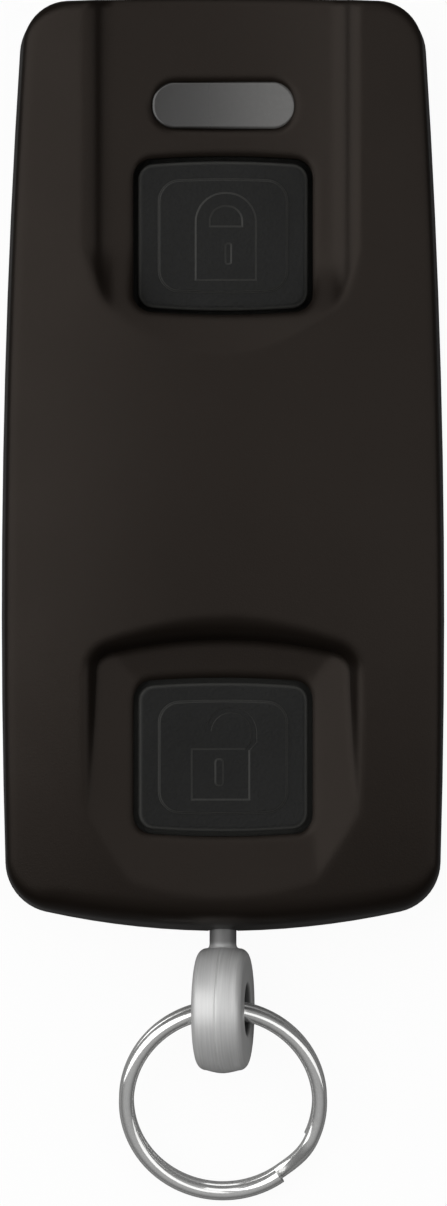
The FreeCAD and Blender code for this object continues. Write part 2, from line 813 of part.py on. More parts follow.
def upper_scoop():
    """The cutter for the upper scoop: a hollow floor with S-shaped sides, lifted out at the bridge."""
    body = new_body("upper_scoop")
    depth = s.top_end + 1.5
    section = new_sketch(body, "upper_section", "XZ", -depth)
    floor, hollow = at["upper_floor"], s.upper_scoop_hollow_radius
    foot, roll = s.scoop_foot_radius, s.scoop_roll_radius
    edge, shoulder = s.scoop_width / 2, at["shoulder"]
    over = shoulder + 2.5
    bowl = (0.0, (floor + hollow).number)
    turn = (edge.number, (shoulder - roll).number)
    heel = meet(bowl, (hollow - foot).number, turn, (foot + roll).number, (-1, 1))
    low = touch_point(bowl, hollow.number, heel)
    blend = middle_between(heel, foot.number, turn, roll.number)
    top = (turn[0], shoulder.number)

    def flipped(point):
        return (-point[0], point[1])

    sketch = section
    sketch.addGeometry(arc_about(bowl, hollow.number, flipped(low), low))
    sketch.addGeometry(arc_about(heel, foot.number, low, blend))
    sketch.addGeometry(arc_about(turn, roll.number, top, blend))
    sketch.addGeometry(arc_about(flipped(heel), foot.number, flipped(blend), flipped(low)))
    sketch.addGeometry(arc_about(flipped(turn), roll.number, flipped(blend), flipped(top)))
    wide = edge + 4
    corners = [top, (wide, shoulder + 0.3), (wide, over), (-wide, over),
               (-wide, shoulder + 0.3), flipped(top)]
    for start, end in zip(corners, corners[1:]):
        sketch.addGeometry(Part.LineSegment(vector(*start), vector(*end)))
    for first, first_end, second, second_end in ((0, 2, 1, 1), (0, 1, 3, 2), (1, 2, 2, 2),
                                                 (3, 1, 4, 1)):
        sketch.addConstraint(Sketcher.Constraint("Tangent", first, first_end, second, second_end))
    for first, first_end, second, second_end in ((2, 1, 5, 1), (5, 2, 6, 1), (6, 2, 7, 1),
                                                 (7, 2, 8, 1), (8, 2, 9, 1), (9, 2, 4, 2)):
        sketch.addConstraint(
            Sketcher.Constraint("Coincident", first, first_end, second, second_end))
    pin_point(sketch, 0, 3, 0.0, floor + hollow)
    for arc, radius in ((0, hollow), (1, foot), (2, roll), (3, foot), (4, roll)):
        set_radius(sketch, arc, radius)
    pin_point(sketch, 2, 3, edge, shoulder - roll)
    pin_point(sketch, 4, 3, -edge, shoulder - roll)
    pin(sketch, "DistanceX", 2, 1, edge)
    pin(sketch, "DistanceX", 4, 2, -edge)
    for line, (x, y) in ((6, corners[1]), (7, corners[2]), (8, corners[3]), (9, corners[4])):
        pin_point(sketch, line, 1, x, y)
    spine = scoop_spine(body, depth)
    pipe(body, section, spine, "upper_scoop_pipe")
    return body


def middle_between(first, first_radius, second, second_radius):
    """Where two arcs that bend opposite ways touch, on the line between their middles."""
    share = first_radius / (first_radius + second_radius)
    return tuple(a + (b - a) * share for a, b in zip(first, second))


def scoop_spine(body, depth):
    """Side view of the upper scoop's floor: straight, then an S up to the gentle bridge."""
    sketch = new_sketch(body, "upper_spine", "YZ")
    floor, radius = at["upper_floor"], s.scoop_lift_radius
    lift, slope = (math.radians(v.number) for v in (s.scoop_lift_angle, s.bridge_slope))
    start, r, z = s.upper_scoop_end.number, radius.number, floor.number
    first = (start, z + r)
    swing = (start - r * math.sin(lift), z + r - r * math.cos(lift))
    second = (swing[0] - r * math.sin(lift), swing[1] - r * math.cos(lift))
    crest = (second[0] + r * math.sin(slope), second[1] + r * math.cos(slope))
    run = s.case_width.number / 2
    end = (crest[0] - run * math.cos(slope), crest[1] + run * math.sin(slope))
    sketch.addGeometry(Part.LineSegment(vector(depth, floor), vector(start, z)))
    sketch.addGeometry(arc_about(first, r, swing, (start, z)))
    sketch.addGeometry(arc_about(second, r, swing, crest))
    sketch.addGeometry(Part.LineSegment(vector(*crest), vector(*end)))
    sketch.addConstraint(Sketcher.Constraint("Tangent", 0, 2, 1, 2))
    sketch.addConstraint(Sketcher.Constraint("Tangent", 1, 1, 2, 1))
    sketch.addConstraint(Sketcher.Constraint("Tangent", 2, 2, 3, 1))
    pin_point(sketch, 0, 1, depth, floor)
    pin_point(sketch, 0, 2, s.upper_scoop_end, floor)
    set_radius(sketch, 1, radius)
    set_radius(sketch, 2, radius)
    uphill = 180 - s.bridge_slope
    index = sketch.addConstraint(
        Sketcher.Constraint("Angle", -1, 3, math.radians(uphill.number)))
    sketch.setExpression(f"Constraints[{index}]", uphill.formula)
    sketch.addConstraint(Sketcher.Constraint("Distance", 3, run))
    pin(sketch, "DistanceY", 1, 1, floor + radius * (1 - math.cos(lift)))
    return sketch


def scoop_plan(sketch, grow=0.0):
    """The lower scoop seen from the front: an arched top edge, then open towards the ring end."""
    half = s.lower_scoop_width / 2 + grow
    arch, corner = s.lower_scoop_arch_radius + grow, s.lower_scoop_corner + grow
    crest = s.lower_scoop_start + grow
    end = -(s.bottom_end + 6)
    w, r, c, top, low = (v.number for v in (half, arch, corner, crest, end))
    centre = (0.0, top - r)
    corner_y = centre[1] + math.sqrt((r - c) ** 2 - (w - c) ** 2)
    tip = touch_point(centre, r, (w - c, corner_y))
    other = (-tip[0], tip[1])
    sketch.addGeometry(Part.LineSegment(vector(w, low), vector(w, corner_y)))
    sketch.addGeometry(arc_about((w - c, corner_y), c, (w, corner_y), tip))
    sketch.addGeometry(arc_about(centre, r, tip, other))
    sketch.addGeometry(arc_about((c - w, corner_y), c, other, (-w, corner_y)))
    sketch.addGeometry(Part.LineSegment(vector(-w, corner_y), vector(-w, low)))
    sketch.addGeometry(Part.LineSegment(vector(-w, low), vector(w, low)))
    for step in range(4):
        sketch.addConstraint(Sketcher.Constraint("Tangent", step, 2, step + 1, 1))
    sketch.addConstraint(Sketcher.Constraint("Coincident", 4, 2, 5, 1))
    sketch.addConstraint(Sketcher.Constraint("Coincident", 5, 2, 0, 1))
    sketch.addConstraint(Sketcher.Constraint("Vertical", 0))
    sketch.addConstraint(Sketcher.Constraint("Vertical", 4))
    pin_point(sketch, 0, 1, half, end)
    pin_point(sketch, 5, 1, -half, end)
    pin_point(sketch, 2, 3, 0.0, crest - arch)
    for arc, radius in ((1, corner), (2, arch), (3, corner)):
        set_radius(sketch, arc, radius)


def lower_scoop():
    """The cutter for the lower scoop: a rolled-over edge that tilts with the falling crown."""
    body = new_body("lower_scoop_roll")
    roll = s.lower_scoop_roll
    inner = new_sketch(body, "lower_plan", "XY", -(roll + 1))
    scoop_plan(inner)
    outer = new_sketch(body, "lower_plate", "XY", 0.0)
    scoop_plan(outer, roll + 0.05)
    pad(body, outer, at["case_height"] / 2, "lower_over")
    pad(body, inner, roll + s.lower_well_depth, "lower_well")
    round_edges(body, roll, lambda edge, p: near(p.z, 0.0) and on_well_edge(p), "lower_roll")
    hinge = s.lower_scoop_start + roll
    fall = hinge - s.crown_station
    rest = at["case_height"] + s.lower_scoop_lift - fall * fall / (s.crown_along_radius * 2)
    drop = hinge * Size(math.sin(math.radians(s.lower_scoop_tilt.number)),
                        "sin(Sizes.lower_scoop_tilt * 1 deg)")
    placed_angle(body, (1, 0, 0), s.lower_scoop_tilt)
    bind(body, "Placement.Base.z", rest - drop)
    return cut("lower_scoop", body, funnel_floor())


def on_well_edge(point):
    """Whether a point at the plate's underside lies on the well's outline, but not its open end."""
    half = s.lower_scoop_width.number / 2
    inside = abs(point.x) < half + 0.3 and point.y < s.lower_scoop_start.number + 0.3
    return inside and point.y > -s.bottom_end.number - 5


def funnel_floor():
    """What stays under the lower scoop: a slab whose four slopes lead down to the key."""
    length = s.bottom_end + PAST
    slab = block("funnel_slab", s.case_width + PAST, length, at["frame_height"] + s.funnel_rise,
                 0.0, -length / 2, 0.0)
    body = new_body("funnel")
    half_width = s.key_width / 2 + s.key_gap
    half_length = s.key_length / 2 + s.key_gap
    low = new_sketch(body, "funnel_frame", "XY", at["frame_height"])
    corners = [(-half_width, s.unlock_station - half_length),
               (half_width, s.unlock_station - half_length),
               (half_width, s.unlock_station + half_length),
               (-half_width, s.unlock_station + half_length)]
    polygon(low, corners)
    side = half_width + s.funnel_side_run
    bottom = s.unlock_station - half_length - s.funnel_bottom_run
    top = s.unlock_station + half_length + s.funnel_top_run
    high = new_sketch(body, "funnel_mouth", "XY", at["frame_height"] + s.funnel_rise)
    polygon(high, [(-side, bottom), (side, bottom), (side, top), (-side, top)])
    loft(body, low, high, "funnel_slopes")
    return cut("funnel_floor", slab, body)


def front_cavity():
    """The hollow inside the front shell, less the bosses, posts, rims and ceilings left standing."""
    bottom = at["lip_bottom"] - 0.1
    walls = front_walls("front_inner_walls", s.wall, bottom)
    hollow = common("front_hollow", walls, crown_solid("inner_crown", s.wall))
    lock_depth = s.top_end - s.lock_station + s.key_length + PAST
    upper = block("lock_ceiling_block", s.scoop_ceiling_width, lock_depth, at["case_height"],
                  0.0, s.top_end + PAST - lock_depth / 2, at["lock_ceiling"])
    unlock_depth = s.bottom_end + s.lower_scoop_start + s.wall + s.lower_scoop_roll + PAST
    lower = block("unlock_ceiling_block", s.scoop_ceiling_width, unlock_depth, at["case_height"],
                  0.0, unlock_depth / 2 - s.bottom_end - PAST, at["unlock_ceiling"])
    standing = [upper, lower]
    for side in (1, -1):
        standing.append(cylinder("front_boss", s.boss_diameter / 2, at["case_height"],
                                 side * s.screw_spread / 2, s.screw_station, s.parting_height))
        for end in (1, -1):
            standing.append(cylinder("hold_down_post", s.board_post_diameter / 2, at["case_height"],
                                     side * s.board_post_spread / 2, end * s.board_post_station,
                                     at["board_top"] + s.seat_gap))
    for name, station in (("lock", s.lock_station), ("unlock", s.unlock_station)):
        rim = new_body(name + "_rim")
        outer = new_sketch(rim, name + "_rim_outside", "XY", at["rim_bottom"])
        key_outline(outer, station, s.rim_offset + s.rim_thickness)
        pad(rim, outer, s.rim_height, name + "_rim_pad")
        inner = new_sketch(rim, name + "_rim_inside", "XY", at["rim_bottom"])
        key_outline(inner, station, s.rim_offset)
        pocket(rim, inner, s.rim_height, name + "_rim_pocket", up=True)
        standing.append(rim)
    standing.append(saddle("front_saddle", s.parting_height, at["unlock_ceiling"] + PAST))
    return cut("front_cavity", hollow, fuse("front_standing", standing))


def saddle(name, low, high):
    """The rib behind the stem's collar that keeps the eyelet from being pulled out."""
    middle = at["saddle_start"] + s.saddle_thickness / 2
    return block(name, s.saddle_width, s.saddle_thickness, high - low, 0.0, middle, low)


def stem_bore(name):
    """The round hole through the ring end in which the eyelet's stem turns."""
    radius = s.stem_diameter / 2 + s.stem_clearance
    start = -(s.bottom_end + PAST)
    length = at["saddle_start"] + s.saddle_thickness + PAST - start
    return cylinder(name, radius, length, 0.0, start, s.parting_height, along="Y")


def key_opening(name, station):
    body = new_body(name)
    sketch = new_sketch(body, name + "_edge", "XY", at["unlock_ceiling"] - 2)
    key_outline(sketch, station, s.key_gap)
    pad(body, sketch, 8, name + "_pad")
    return body


def window_opening():
    body = new_body("window_opening")
    sketch = new_sketch(body, "window_edge", "XY", at["lock_ceiling"] - 1)
    slot_outline(sketch, s.window_station, s.window_length, s.window_width)
    pad(body, sketch, 6, "window_opening_pad")
    return body


def front_shell():
    lip_body = new_body("front_lip")
    lip = new_sketch(lip_body, "lip_outline", "XY", at["lip_bottom"])
    case_outline(lip, s.wall / 2 + s.lip_gap)
    pad(lip_body, lip, s.lip_height + s.seam_chamfer * 2, "lip_pad")
    outside = fuse("front_outside", [front_blank(), lip_body])
    cutters = [front_cavity(), upper_scoop(), lower_scoop(),
               key_opening("lock_opening", s.lock_station),
               key_opening("unlock_opening", s.unlock_station),
               window_opening(), stem_bore("front_stem_bore")]
    depth = s.screw_recess + s.screw_head_height + s.screw_length + s.screw_point
    for side in (1, -1):
        cutters.append(cylinder("front_pilot", s.screw_diameter / 2 + s.pilot_clearance, depth,
                                side * s.screw_spread / 2, s.screw_station))
    shell = cut_all("front_cut", outside, cutters)
    shell.Label = "front_shell"
    return shell


# Rear shell

def rear_outside():
    body = new_body("rear_outside")
    seam = new_sketch(body, "rear_seam", "XY", s.parting_height)
    case_outline(seam, s.seam_chamfer)
    rim = new_sketch(body, "rear_rim", "XY", s.parting_height - s.seam_chamfer)
    case_outline(rim)
    back = new_sketch(body, "rear_back", "XY", 0.0)
    case_outline(back, s.rear_lean)
    loft(body, seam, rim, "rear_bevel")
    loft(body, rim, back, "rear_walls")
    round_edges(body, s.back_round, lambda edge, p: near(p.z, 0.0), "rear_round")
    return body


def rear_hollow():
    """The rear's inside, with a step round its rim where the front's lip seats."""
    inside = new_body("rear_inside")
    mouth = new_sketch(inside, "rear_mouth", "XY", s.parting_height + s.seam_chamfer)
    case_outline(mouth, s.wall)
    floor = new_sketch(inside, "rear_floor", "XY", s.rear_wall)
    lean = s.rear_lean * (1 - s.rear_wall / s.parting_height)
    case_outline(floor, s.wall + lean)
    loft(inside, mouth, floor, "rear_hollow_loft")
    rebate = new_body("rear_rebate")
    edge = new_sketch(rebate, "rebate_outline", "XY", at["lip_bottom"] - s.seat_gap)
    case_outline(edge, s.wall / 2)
    pad(rebate, edge, s.lip_height + PAST, "rebate_pad")
    return fuse("rear_hollow", [inside, rebate])


def rear_standing():
    """What stands on the rear's floor: screw bosses, posts under the board and the saddle."""
    root = s.rear_wall / 2
    standing = [saddle("rear_saddle", root, s.parting_height)]
    for side in (1, -1):
        standing.append(cylinder("rear_boss", s.boss_diameter / 2, s.parting_height - root,
                                 side * s.screw_spread / 2, s.screw_station, root))
        for end in (1, -1):
            standing.append(cylinder("board_post", s.board_post_diameter / 2,
                                     at["board_height"] - root, side * s.board_post_spread / 2,
                                     end * s.board_post_station, root))
    return fuse("rear_standing", standing)


def rear_shell():
    cutters = [cut("rear_cavity", rear_hollow(), rear_standing()), stem_bore("rear_stem_bore")]
    recess = s.screw_head_height + s.screw_recess
    for side in (1, -1):
        x = side * s.screw_spread / 2
        cutters.append(cylinder("head_recess", s.screw_head_diameter / 2 + s.screw_head_clearance,
                                recess + PAST, x, s.screw_station, -PAST))
        cutters.append(cylinder("screw_way", s.screw_diameter / 2 + s.screw_clearance,
                                s.parting_height + PAST, x, s.screw_station))
    shell = cut_all("rear_cut", rear_outside(), cutters)
    shell.Label = "rear_shell"
    return shell


# Status window, keys, mat and webs

def status_window():
    body = new_body("status_window")
    gap = 2 * s.window_gap
    flange_top = at["lock_ceiling"] - s.seat_gap
    flange_low = flange_top - s.window_flange_thickness
    flange = new_sketch(body, "window_flange_outline", "XY", flange_low)
    slot_outline(flange, s.window_station, s.window_length + 2 * s.window_flange,
                 s.window_width + 2 * s.window_flange)
    pad(body, flange, s.window_flange_thickness, "window_flange_pad")
    face = new_sketch(body, "window_face", "XY", flange_low)
    slot_outline(face, s.window_station, s.window_length - gap, s.window_width - gap)
    top = at["upper_floor"] + s.window_proud
    pad(body, face, top - flange_low, "window_pad")
    middle = flange_low + s.window_flange_thickness / 2
    guide = new_sketch(body, "light_guide", "XY", middle)
    circle(guide, 0.0, s.window_station, s.light_guide_diameter / 2)
    foot = at["board_top"] + s.led_height + s.light_guide_gap
    pad(body, guide, middle - foot, "light_guide_pad", down=True)
    round_edges(body, s.window_round, lambda edge, p: near(p.z, top), "window_round")
    return body


def key(label, station, rim):
    """One rubber key: its cap, the raised panel for its sign and the nib that meets the switch."""
    body = new_body(label)
    cap = new_sketch(body, label + "_outline", "XY", at["key_underside"])
    key_outline(cap, station)
    pad(body, cap, rim - at["key_underside"], label + "_cap")
    round_edges(body, s.key_edge_round, lambda edge, p: near(p.z, rim), label + "_round")
    panel = new_sketch(body, label + "_panel_outline", "XY", rim - s.key_edge_round)
    key_outline(panel, station, -s.key_panel_margin, s.key_panel_corner)
    pad(body, panel, s.key_panel_height + s.key_edge_round, label + "_panel")
    top = rim + s.key_panel_height
    round_edges(body, s.key_panel_bevel, lambda edge, p: near(p.z, top), label + "_panel_bevel",
                "PartDesign::Chamfer")
    root = at["key_underside"] + s.key_edge_round
    nib = new_sketch(body, label + "_nib_outline", "XY", root)
    circle(nib, 0.0, station, s.nib_diameter / 2)
    pad(body, nib, root - at["nib_bottom"], label + "_nib", down=True)
    return body


def keypad_mat():
    body = new_body("keypad_mat")
    middle = (s.mat_top_end - s.mat_bottom_end) / 2
    length = s.mat_top_end + s.mat_bottom_end
    outer = new_sketch(body, "mat_outline", "XY", at["board_top"])
    round_rectangle(outer, middle, s.mat_width, length, s.mat_corner)
    pad(body, outer, at["mat_top"] - at["board_top"], "mat_pad")
    inner = new_sketch(body, "mat_hollow", "XY", at["board_top"])
    round_rectangle(inner, middle, s.mat_width - 2 * s.mat_rim, length - 2 * s.mat_rim,
                    s.mat_corner - s.mat_rim)
    pocket(body, inner, at["mat_top"] - at["board_top"] - s.mat_thickness, "mat_pocket", up=True)
    for name, station in (("lock", s.lock_station), ("unlock", s.unlock_station)):
        hole = new_sketch(body, name + "_mat_hole", "XY", at["mat_top"])
        key_outline(hole, station, s.key_gap)
        pocket(body, hole, s.mat_thickness + PAST, name + "_mat_pocket")
    return body


def web(label, station):
    """The thin sloping wall of rubber that carries a key over the hole in the mat."""
    body = new_body(label)
    outer_low = new_sketch(body, label + "_outer_low", "XY", at["mat_top"])
    key_outline(outer_low, station, s.web_reach)
    outer_high = new_sketch(body, label + "_outer_high", "XY", at["key_underside"])
    key_outline(outer_high, station, -s.web_overlap)
    inner_low = new_sketch(body, label + "_inner_low", "XY", at["mat_top"])
    key_outline(inner_low, station, s.web_reach - s.web_width)
    inner_high = new_sketch(body, label + "_inner_high", "XY", at["key_underside"])
    key_outline(inner_high, station, -(s.web_overlap + s.web_width))
    loft(body, outer_low, outer_high, label + "_outside")
    feature = body.newObject("PartDesign::SubtractiveLoft", label + "_inside")
    feature.Profile = inner_low
    feature.Sections = [inner_high]
    feature.Ruled = True
    return body


# Circuit board and what it carries

def circuit_board():
    body = new_body("circuit_board")
    sketch = new_sketch(body, "board_outline", "XY", at["board_height"])
    case_outline(sketch, s.board_margin, s.board_top_end + s.board_margin,
                 s.board_bottom_end + s.board_margin)
    pad(body, sketch, s.board_thickness, "board_pad")
    return body


def switch_case(label, station):
    body = new_body(label)
    sketch = new_sketch(body, label + "_outline", "XY", at["board_top"])
    round_rectangle(sketch, station, s.switch_side, s.switch_side, s.switch_corner)
    pad(body, sketch, s.switch_height, label + "_pad")
    bore = new_sketch(body, label + "_bore", "XY", at["switch_top"])
    circle(bore, 0.0, station, s.plunger_diameter / 2 + s.plunger_clearance)
    pocket(body, bore, s.plunger_bore_depth, label + "_pocket")
    return body


def switch_plunger(label, station):
    body = new_body(label)
    length = (s.plunger_proud + s.plunger_bore_depth - s.plunger_travel
              - s.plunger_bottom_gap)
    sketch = new_sketch(body, label + "_outline", "XY", at["plunger_top"])
    circle(sketch, 0.0, station, s.plunger_diameter / 2)
    pad(body, sketch, length, label + "_pad", down=True)
    round_edges(body, s.plunger_bevel, lambda edge, p: near(p.z, at["plunger_top"]),
                label + "_bevel", "PartDesign::Chamfer")
    return body


def board_part(label, width, length, height, x, y):
    """A plain chip soldered to the board, with its top edges eased."""
    body = new_body(label)
    low = at["board_top"]
    sketch = new_sketch(body, label + "_outline", "XY", low)
    rectangle(sketch, of(x), of(y), width, length)
    pad(body, sketch, height, label + "_pad")
    round_edges(body, s.chip_bevel, lambda edge, p: near(p.z, low + height), label + "_eased",
                "PartDesign::Chamfer")
    return body


def small_parts(label, station):
    """A row of tiny surface-mounted parts, one solid each."""
    row = []
    for step in range(SMALL_PARTS_IN_ROW):
        row.append(block(f"{label}_{step + 1}", s.small_part_width, s.small_part_length,
                         s.small_part_height, step * s.small_part_pitch - s.small_row_left,
                         station, at["board_top"]))
    group = doc.addObject("Part::Compound", label)
    group.Links = row
    group.Label = label
    return group


def antenna():
    """A staple of round wire that stands beside the mat."""
    body = new_body("wire_antenna")
    half, bend = s.antenna_length / 2, s.antenna_bend
    low, high = at["board_top"], at["board_top"] + s.antenna_height
    spine = new_sketch(body, "antenna_spine", "YZ", at["antenna_x"])
    h, r, a, b = (v.number for v in (half, bend, low, high))
    spine.addGeometry(Part.LineSegment(vector(-h, a), vector(-h, b - r)))
    spine.addGeometry(arc_about((r - h, b - r), r, (r - h, b), (-h, b - r)))
    spine.addGeometry(Part.LineSegment(vector(r - h, b), vector(h - r, b)))
    spine.addGeometry(arc_about((h - r, b - r), r, (h, b - r), (h - r, b)))
    spine.addGeometry(Part.LineSegment(vector(h, b - r), vector(h, a)))
    for first, first_end, second, second_end in ((0, 2, 1, 2), (1, 1, 2, 1), (2, 2, 3, 2),
                                                 (3, 1, 4, 1)):
        spine.addConstraint(Sketcher.Constraint("Tangent", first, first_end, second, second_end))
    spine.addConstraint(Sketcher.Constraint("Vertical", 0))
    spine.addConstraint(Sketcher.Constraint("Vertical", 4))
    spine.addConstraint(Sketcher.Constraint("Horizontal", 2))
    pin_point(spine, 0, 1, -half, low)
    pin_point(spine, 4, 2, half, low)
    set_radius(spine, 1, bend)
    set_radius(spine, 3, bend)
    pin(spine, "DistanceY", 2, 1, high)
    profile = new_sketch(body, "antenna_section", "XY", low)
    circle(profile, at["antenna_x"], -half, s.antenna_wire / 2)
    pipe(body, profile, spine, "antenna_pipe")
    return body


# Coin cell

def turned(label, profile, x=0.0, y=0.0):
    """A turned solid from a half section given as radius and height, about an upright axis."""
    body = new_body(label)
    sketch = new_sketch(body, label + "_section", "XZ")
    polygon(sketch, profile)
    axis = sketch.addGeometry(Part.LineSegment(vector(0, -5), vector(0, 5)), True)
    pin_point(sketch, axis, 1, 0.0, -5.0)
    pin_point(sketch, axis, 2, 0.0, 5.0)
    revolve(body, sketch, "Axis0", name=label + "_turned")
    bind(body, "Placement.Base.x", x)
    bind(body, "Placement.Base.y", y)
    return body


def battery_cell():
    low, high = at["cell_bottom"], at["cell_top"]
    radius, land = at["cell_radius"], s.cell_land_diameter / 2
    body = turned("battery_cell", [
        (of(0), low), (radius, low), (radius, high - s.cell_step),
        (land, high - s.cell_step), (land, high), (of(0), high)], 0.0, s.cell_station)
    return body


def battery_holder():
    inner = at["cell_radius"] + s.cell_clearance
    outer = at["holder_radius"]
    low = at["cell_bottom"] + s.holder_lift
    return turned("battery_holder", [
        (inner, low), (outer, low), (outer, at["board_height"]), (inner, at["board_height"])],
        0.0, s.cell_station)


def battery_contacts():
    """The clip that crosses under the cell, and the leaf between the cell and the board."""
    thick = s.contact_thickness
    clip = new_body("battery_contact_positive")
    reach = at["holder_radius"] + s.contact_side_gap
    top = at["cell_bottom"] - s.contact_gap
    low = top - thick
    profile = new_sketch(clip, "clip_section", "XZ", -s.cell_station)
    polygon(profile, [
        (-(reach + thick), low), (reach + thick, low), (reach + thick, at["board_height"]),
        (reach, at["board_height"]), (reach, top), (-reach, top), (-reach, at["board_height"]),
        (-(reach + thick), at["board_height"])])
    pad(clip, profile, s.contact_width, "clip_pad", both=True)
    leaf = turned("battery_contact_negative", [
        (of(0), at["board_height"] - thick), (s.negative_contact_diameter / 2, at["board_height"] - thick),
        (s.negative_contact_diameter / 2, at["board_height"]), (of(0), at["board_height"])],
        0.0, s.cell_station)
    return clip, leaf


# Screws

def case_screws():
    head = s.screw_head_diameter / 2
    shank = s.screw_diameter / 2
    low = s.screw_recess
    seat = low + s.screw_head_height
    tip = seat + s.screw_length
    bevel = s.screw_head_bevel
    screw = turned("case_screw", [
        (of(0), low), (head - bevel, low), (head, low + bevel), (head, seat), (shank, seat),
        (shank, tip - s.screw_point), (s.screw_point_diameter / 2, tip), (of(0), tip)],
        s.screw_spread / 2, s.screw_station)
    across, along = s.screw_cross_width, s.screw_cross_length
    for number, (width, length) in enumerate(((across, along), (along, across)), start=1):
        slot = new_sketch(screw, f"cross_{number}", "XY", low)
        rectangle(slot, of(0), of(0), width, length)
        pocket(screw, slot, s.screw_cross_depth, f"cross_cut_{number}", up=True)
    twin = doc.addObject("Part::Mirroring", "case_screw_twin")
    twin.Source = screw
    twin.Normal = (1, 0, 0)
    twin.Base = (0, 0, 0)
    group = doc.addObject("Part::Compound", "case_screws")
    group.Links = [screw, twin]
    group.Label = "case_screws"
    return group


# Swivel eyelet

def swivel_eyelet():
    """A thick disc with a cross bore, on a stem whose collar turns inside the case."""
    body = new_body("swivel_eyelet")
    face = new_sketch(body, "eyelet_face", "YZ")
    circle(face, s.eyelet_station, 0.0, s.eyelet_diameter / 2)
    pad(body, face, s.eyelet_thickness, "eyelet_disc", both=True)
    half = s.eyelet_thickness / 2
    round_edges(body, s.eyelet_round, lambda edge, p: near(abs(p.x), half), "eyelet_round")
    stem = new_sketch(body, "stem_section", "XY")
    radius, collar = s.stem_diameter / 2, s.collar_diameter / 2
    root = s.eyelet_station + s.eyelet_diameter / 2
    start, end = at["collar_start"], at["collar_start"] + s.collar_length
    tail = at["saddle_start"] + s.saddle_thickness + s.stem_tail
    polygon(stem, [
        (of(0), root - s.stem_diameter / 2), (radius + s.stem_flare, root - s.stem_flare_length / 2),
        (radius, root + s.stem_flare_length / 2),
        (radius, start), (collar, start), (collar, end), (radius, end), (radius, tail),
        (of(0), tail)])
    axis = stem.addGeometry(Part.LineSegment(vector(0, -50), vector(0, -20)), True)
    pin_point(stem, axis, 1, 0.0, root)
    pin_point(stem, axis, 2, 0.0, tail)
    revolve(body, stem, "Axis0", name="eyelet_stem")
    bore = new_sketch(body, "eyelet_bore_edge", "YZ", -s.eyelet_thickness)
    circle(bore, s.eyelet_station, 0.0, s.eyelet_bore / 2)
    pocket(body, bore, s.eyelet_thickness * 2, "eyelet_bore", up=True)
    bore_radius = s.eyelet_bore.number / 2

    def bore_edge(edge, p):
        across = math.hypot(p.y - s.eyelet_station.number, p.z)
        return near(abs(p.x), half) and abs(across - bore_radius) < 0.05

    round_edges(body, s.eyelet_bore_chamfer, bore_edge, "eyelet_bevel", "PartDesign::Chamfer")
    placed_angle(body, (0, 1, 0), -s.eyelet_turn)
    bind(body, "Placement.Base.z", s.parting_height)
    return body


# Split ring

def ring_tilt():
    """The angle at which the ring leans from the eyelet's bore down to the surface below."""
    radius, outer = at["ring_radius"].number, s.ring_diameter.number / 2
    bevel = s.ring_wire_bevel.number
    half_height = at["ring_half_height"].number
    rise = s.parting_height.number
    leans = []
    for along, up in ((radius + outer, half_height - bevel), (radius + outer - bevel, half_height)):
        leans.append(math.asin(rise / math.hypot(along, up)) - math.atan2(up, along))
    return min(leans)


def wire_section(turn, height):
    """The wire's bevelled section at an angle round the ring, its middle at a height."""
    half_width, half_height = s.ring_wire_width.number / 2, s.ring_wire_height.number / 2
    bevel = s.ring_wire_bevel.number
    corners = []
    for x, z in ((1, 1), (-1, 1), (-1, -1), (1, -1)):
        side = (x * half_width, z * (half_height - bevel))
        flat = (x * (half_width - bevel), z * half_height)
        corners.extend((side, flat) if x * z > 0 else (flat, side))
    radius = at["ring_radius"].number
    points = [FreeCAD.Vector(radius + x, 0, height + z) for x, z in corners]
    wire = Part.makePolygon(points + points[:1])
    wire.rotate(FreeCAD.Vector(0, 0, 0), FreeCAD.Vector(0, 0, 1), turn)
    return wire


def split_ring():
    """Two flat turns of wire, one on the other, joined where the wire crosses between them."""
    level = (s.ring_wire_height.number + s.ring_turn_gap.number) / 2
    cross, span = s.ring_cross_station.number, s.ring_cross_span.number
    up = FreeCAD.Vector(0, 0, 1)
    origin = FreeCAD.Vector(0, 0, 0)
    solids = []
    for height in (-level, level):
        start = Part.Face(wire_section(cross + span, height))
        solids.append(start.revolve(origin, up, 360 - 2 * span))
    sections = []
    for step in range(RING_CROSS_STEPS + 1):
        share = step / RING_CROSS_STEPS
        rise = -level * math.cos(math.pi * share)
        sections.append(wire_section(cross - span + 2 * span * share, rise))
    solids.append(Part.makeLoft(sections, True, False))
    feature = doc.addObject("Part::Feature", "split_ring")
    feature.Shape = solids[0].fuse(solids[1:])
    tilt = ring_tilt()
    radius = at["ring_radius"].number
    turn = FreeCAD.Rotation(FreeCAD.Vector(1, 0, 0), math.degrees(tilt))
    middle = FreeCAD.Vector(0, s.eyelet_station.number - radius * math.cos(tilt),
                            s.parting_height.number - radius * math.sin(tilt))
    feature.Placement = FreeCAD.Placement(middle, turn)
    return feature


# The whole remote

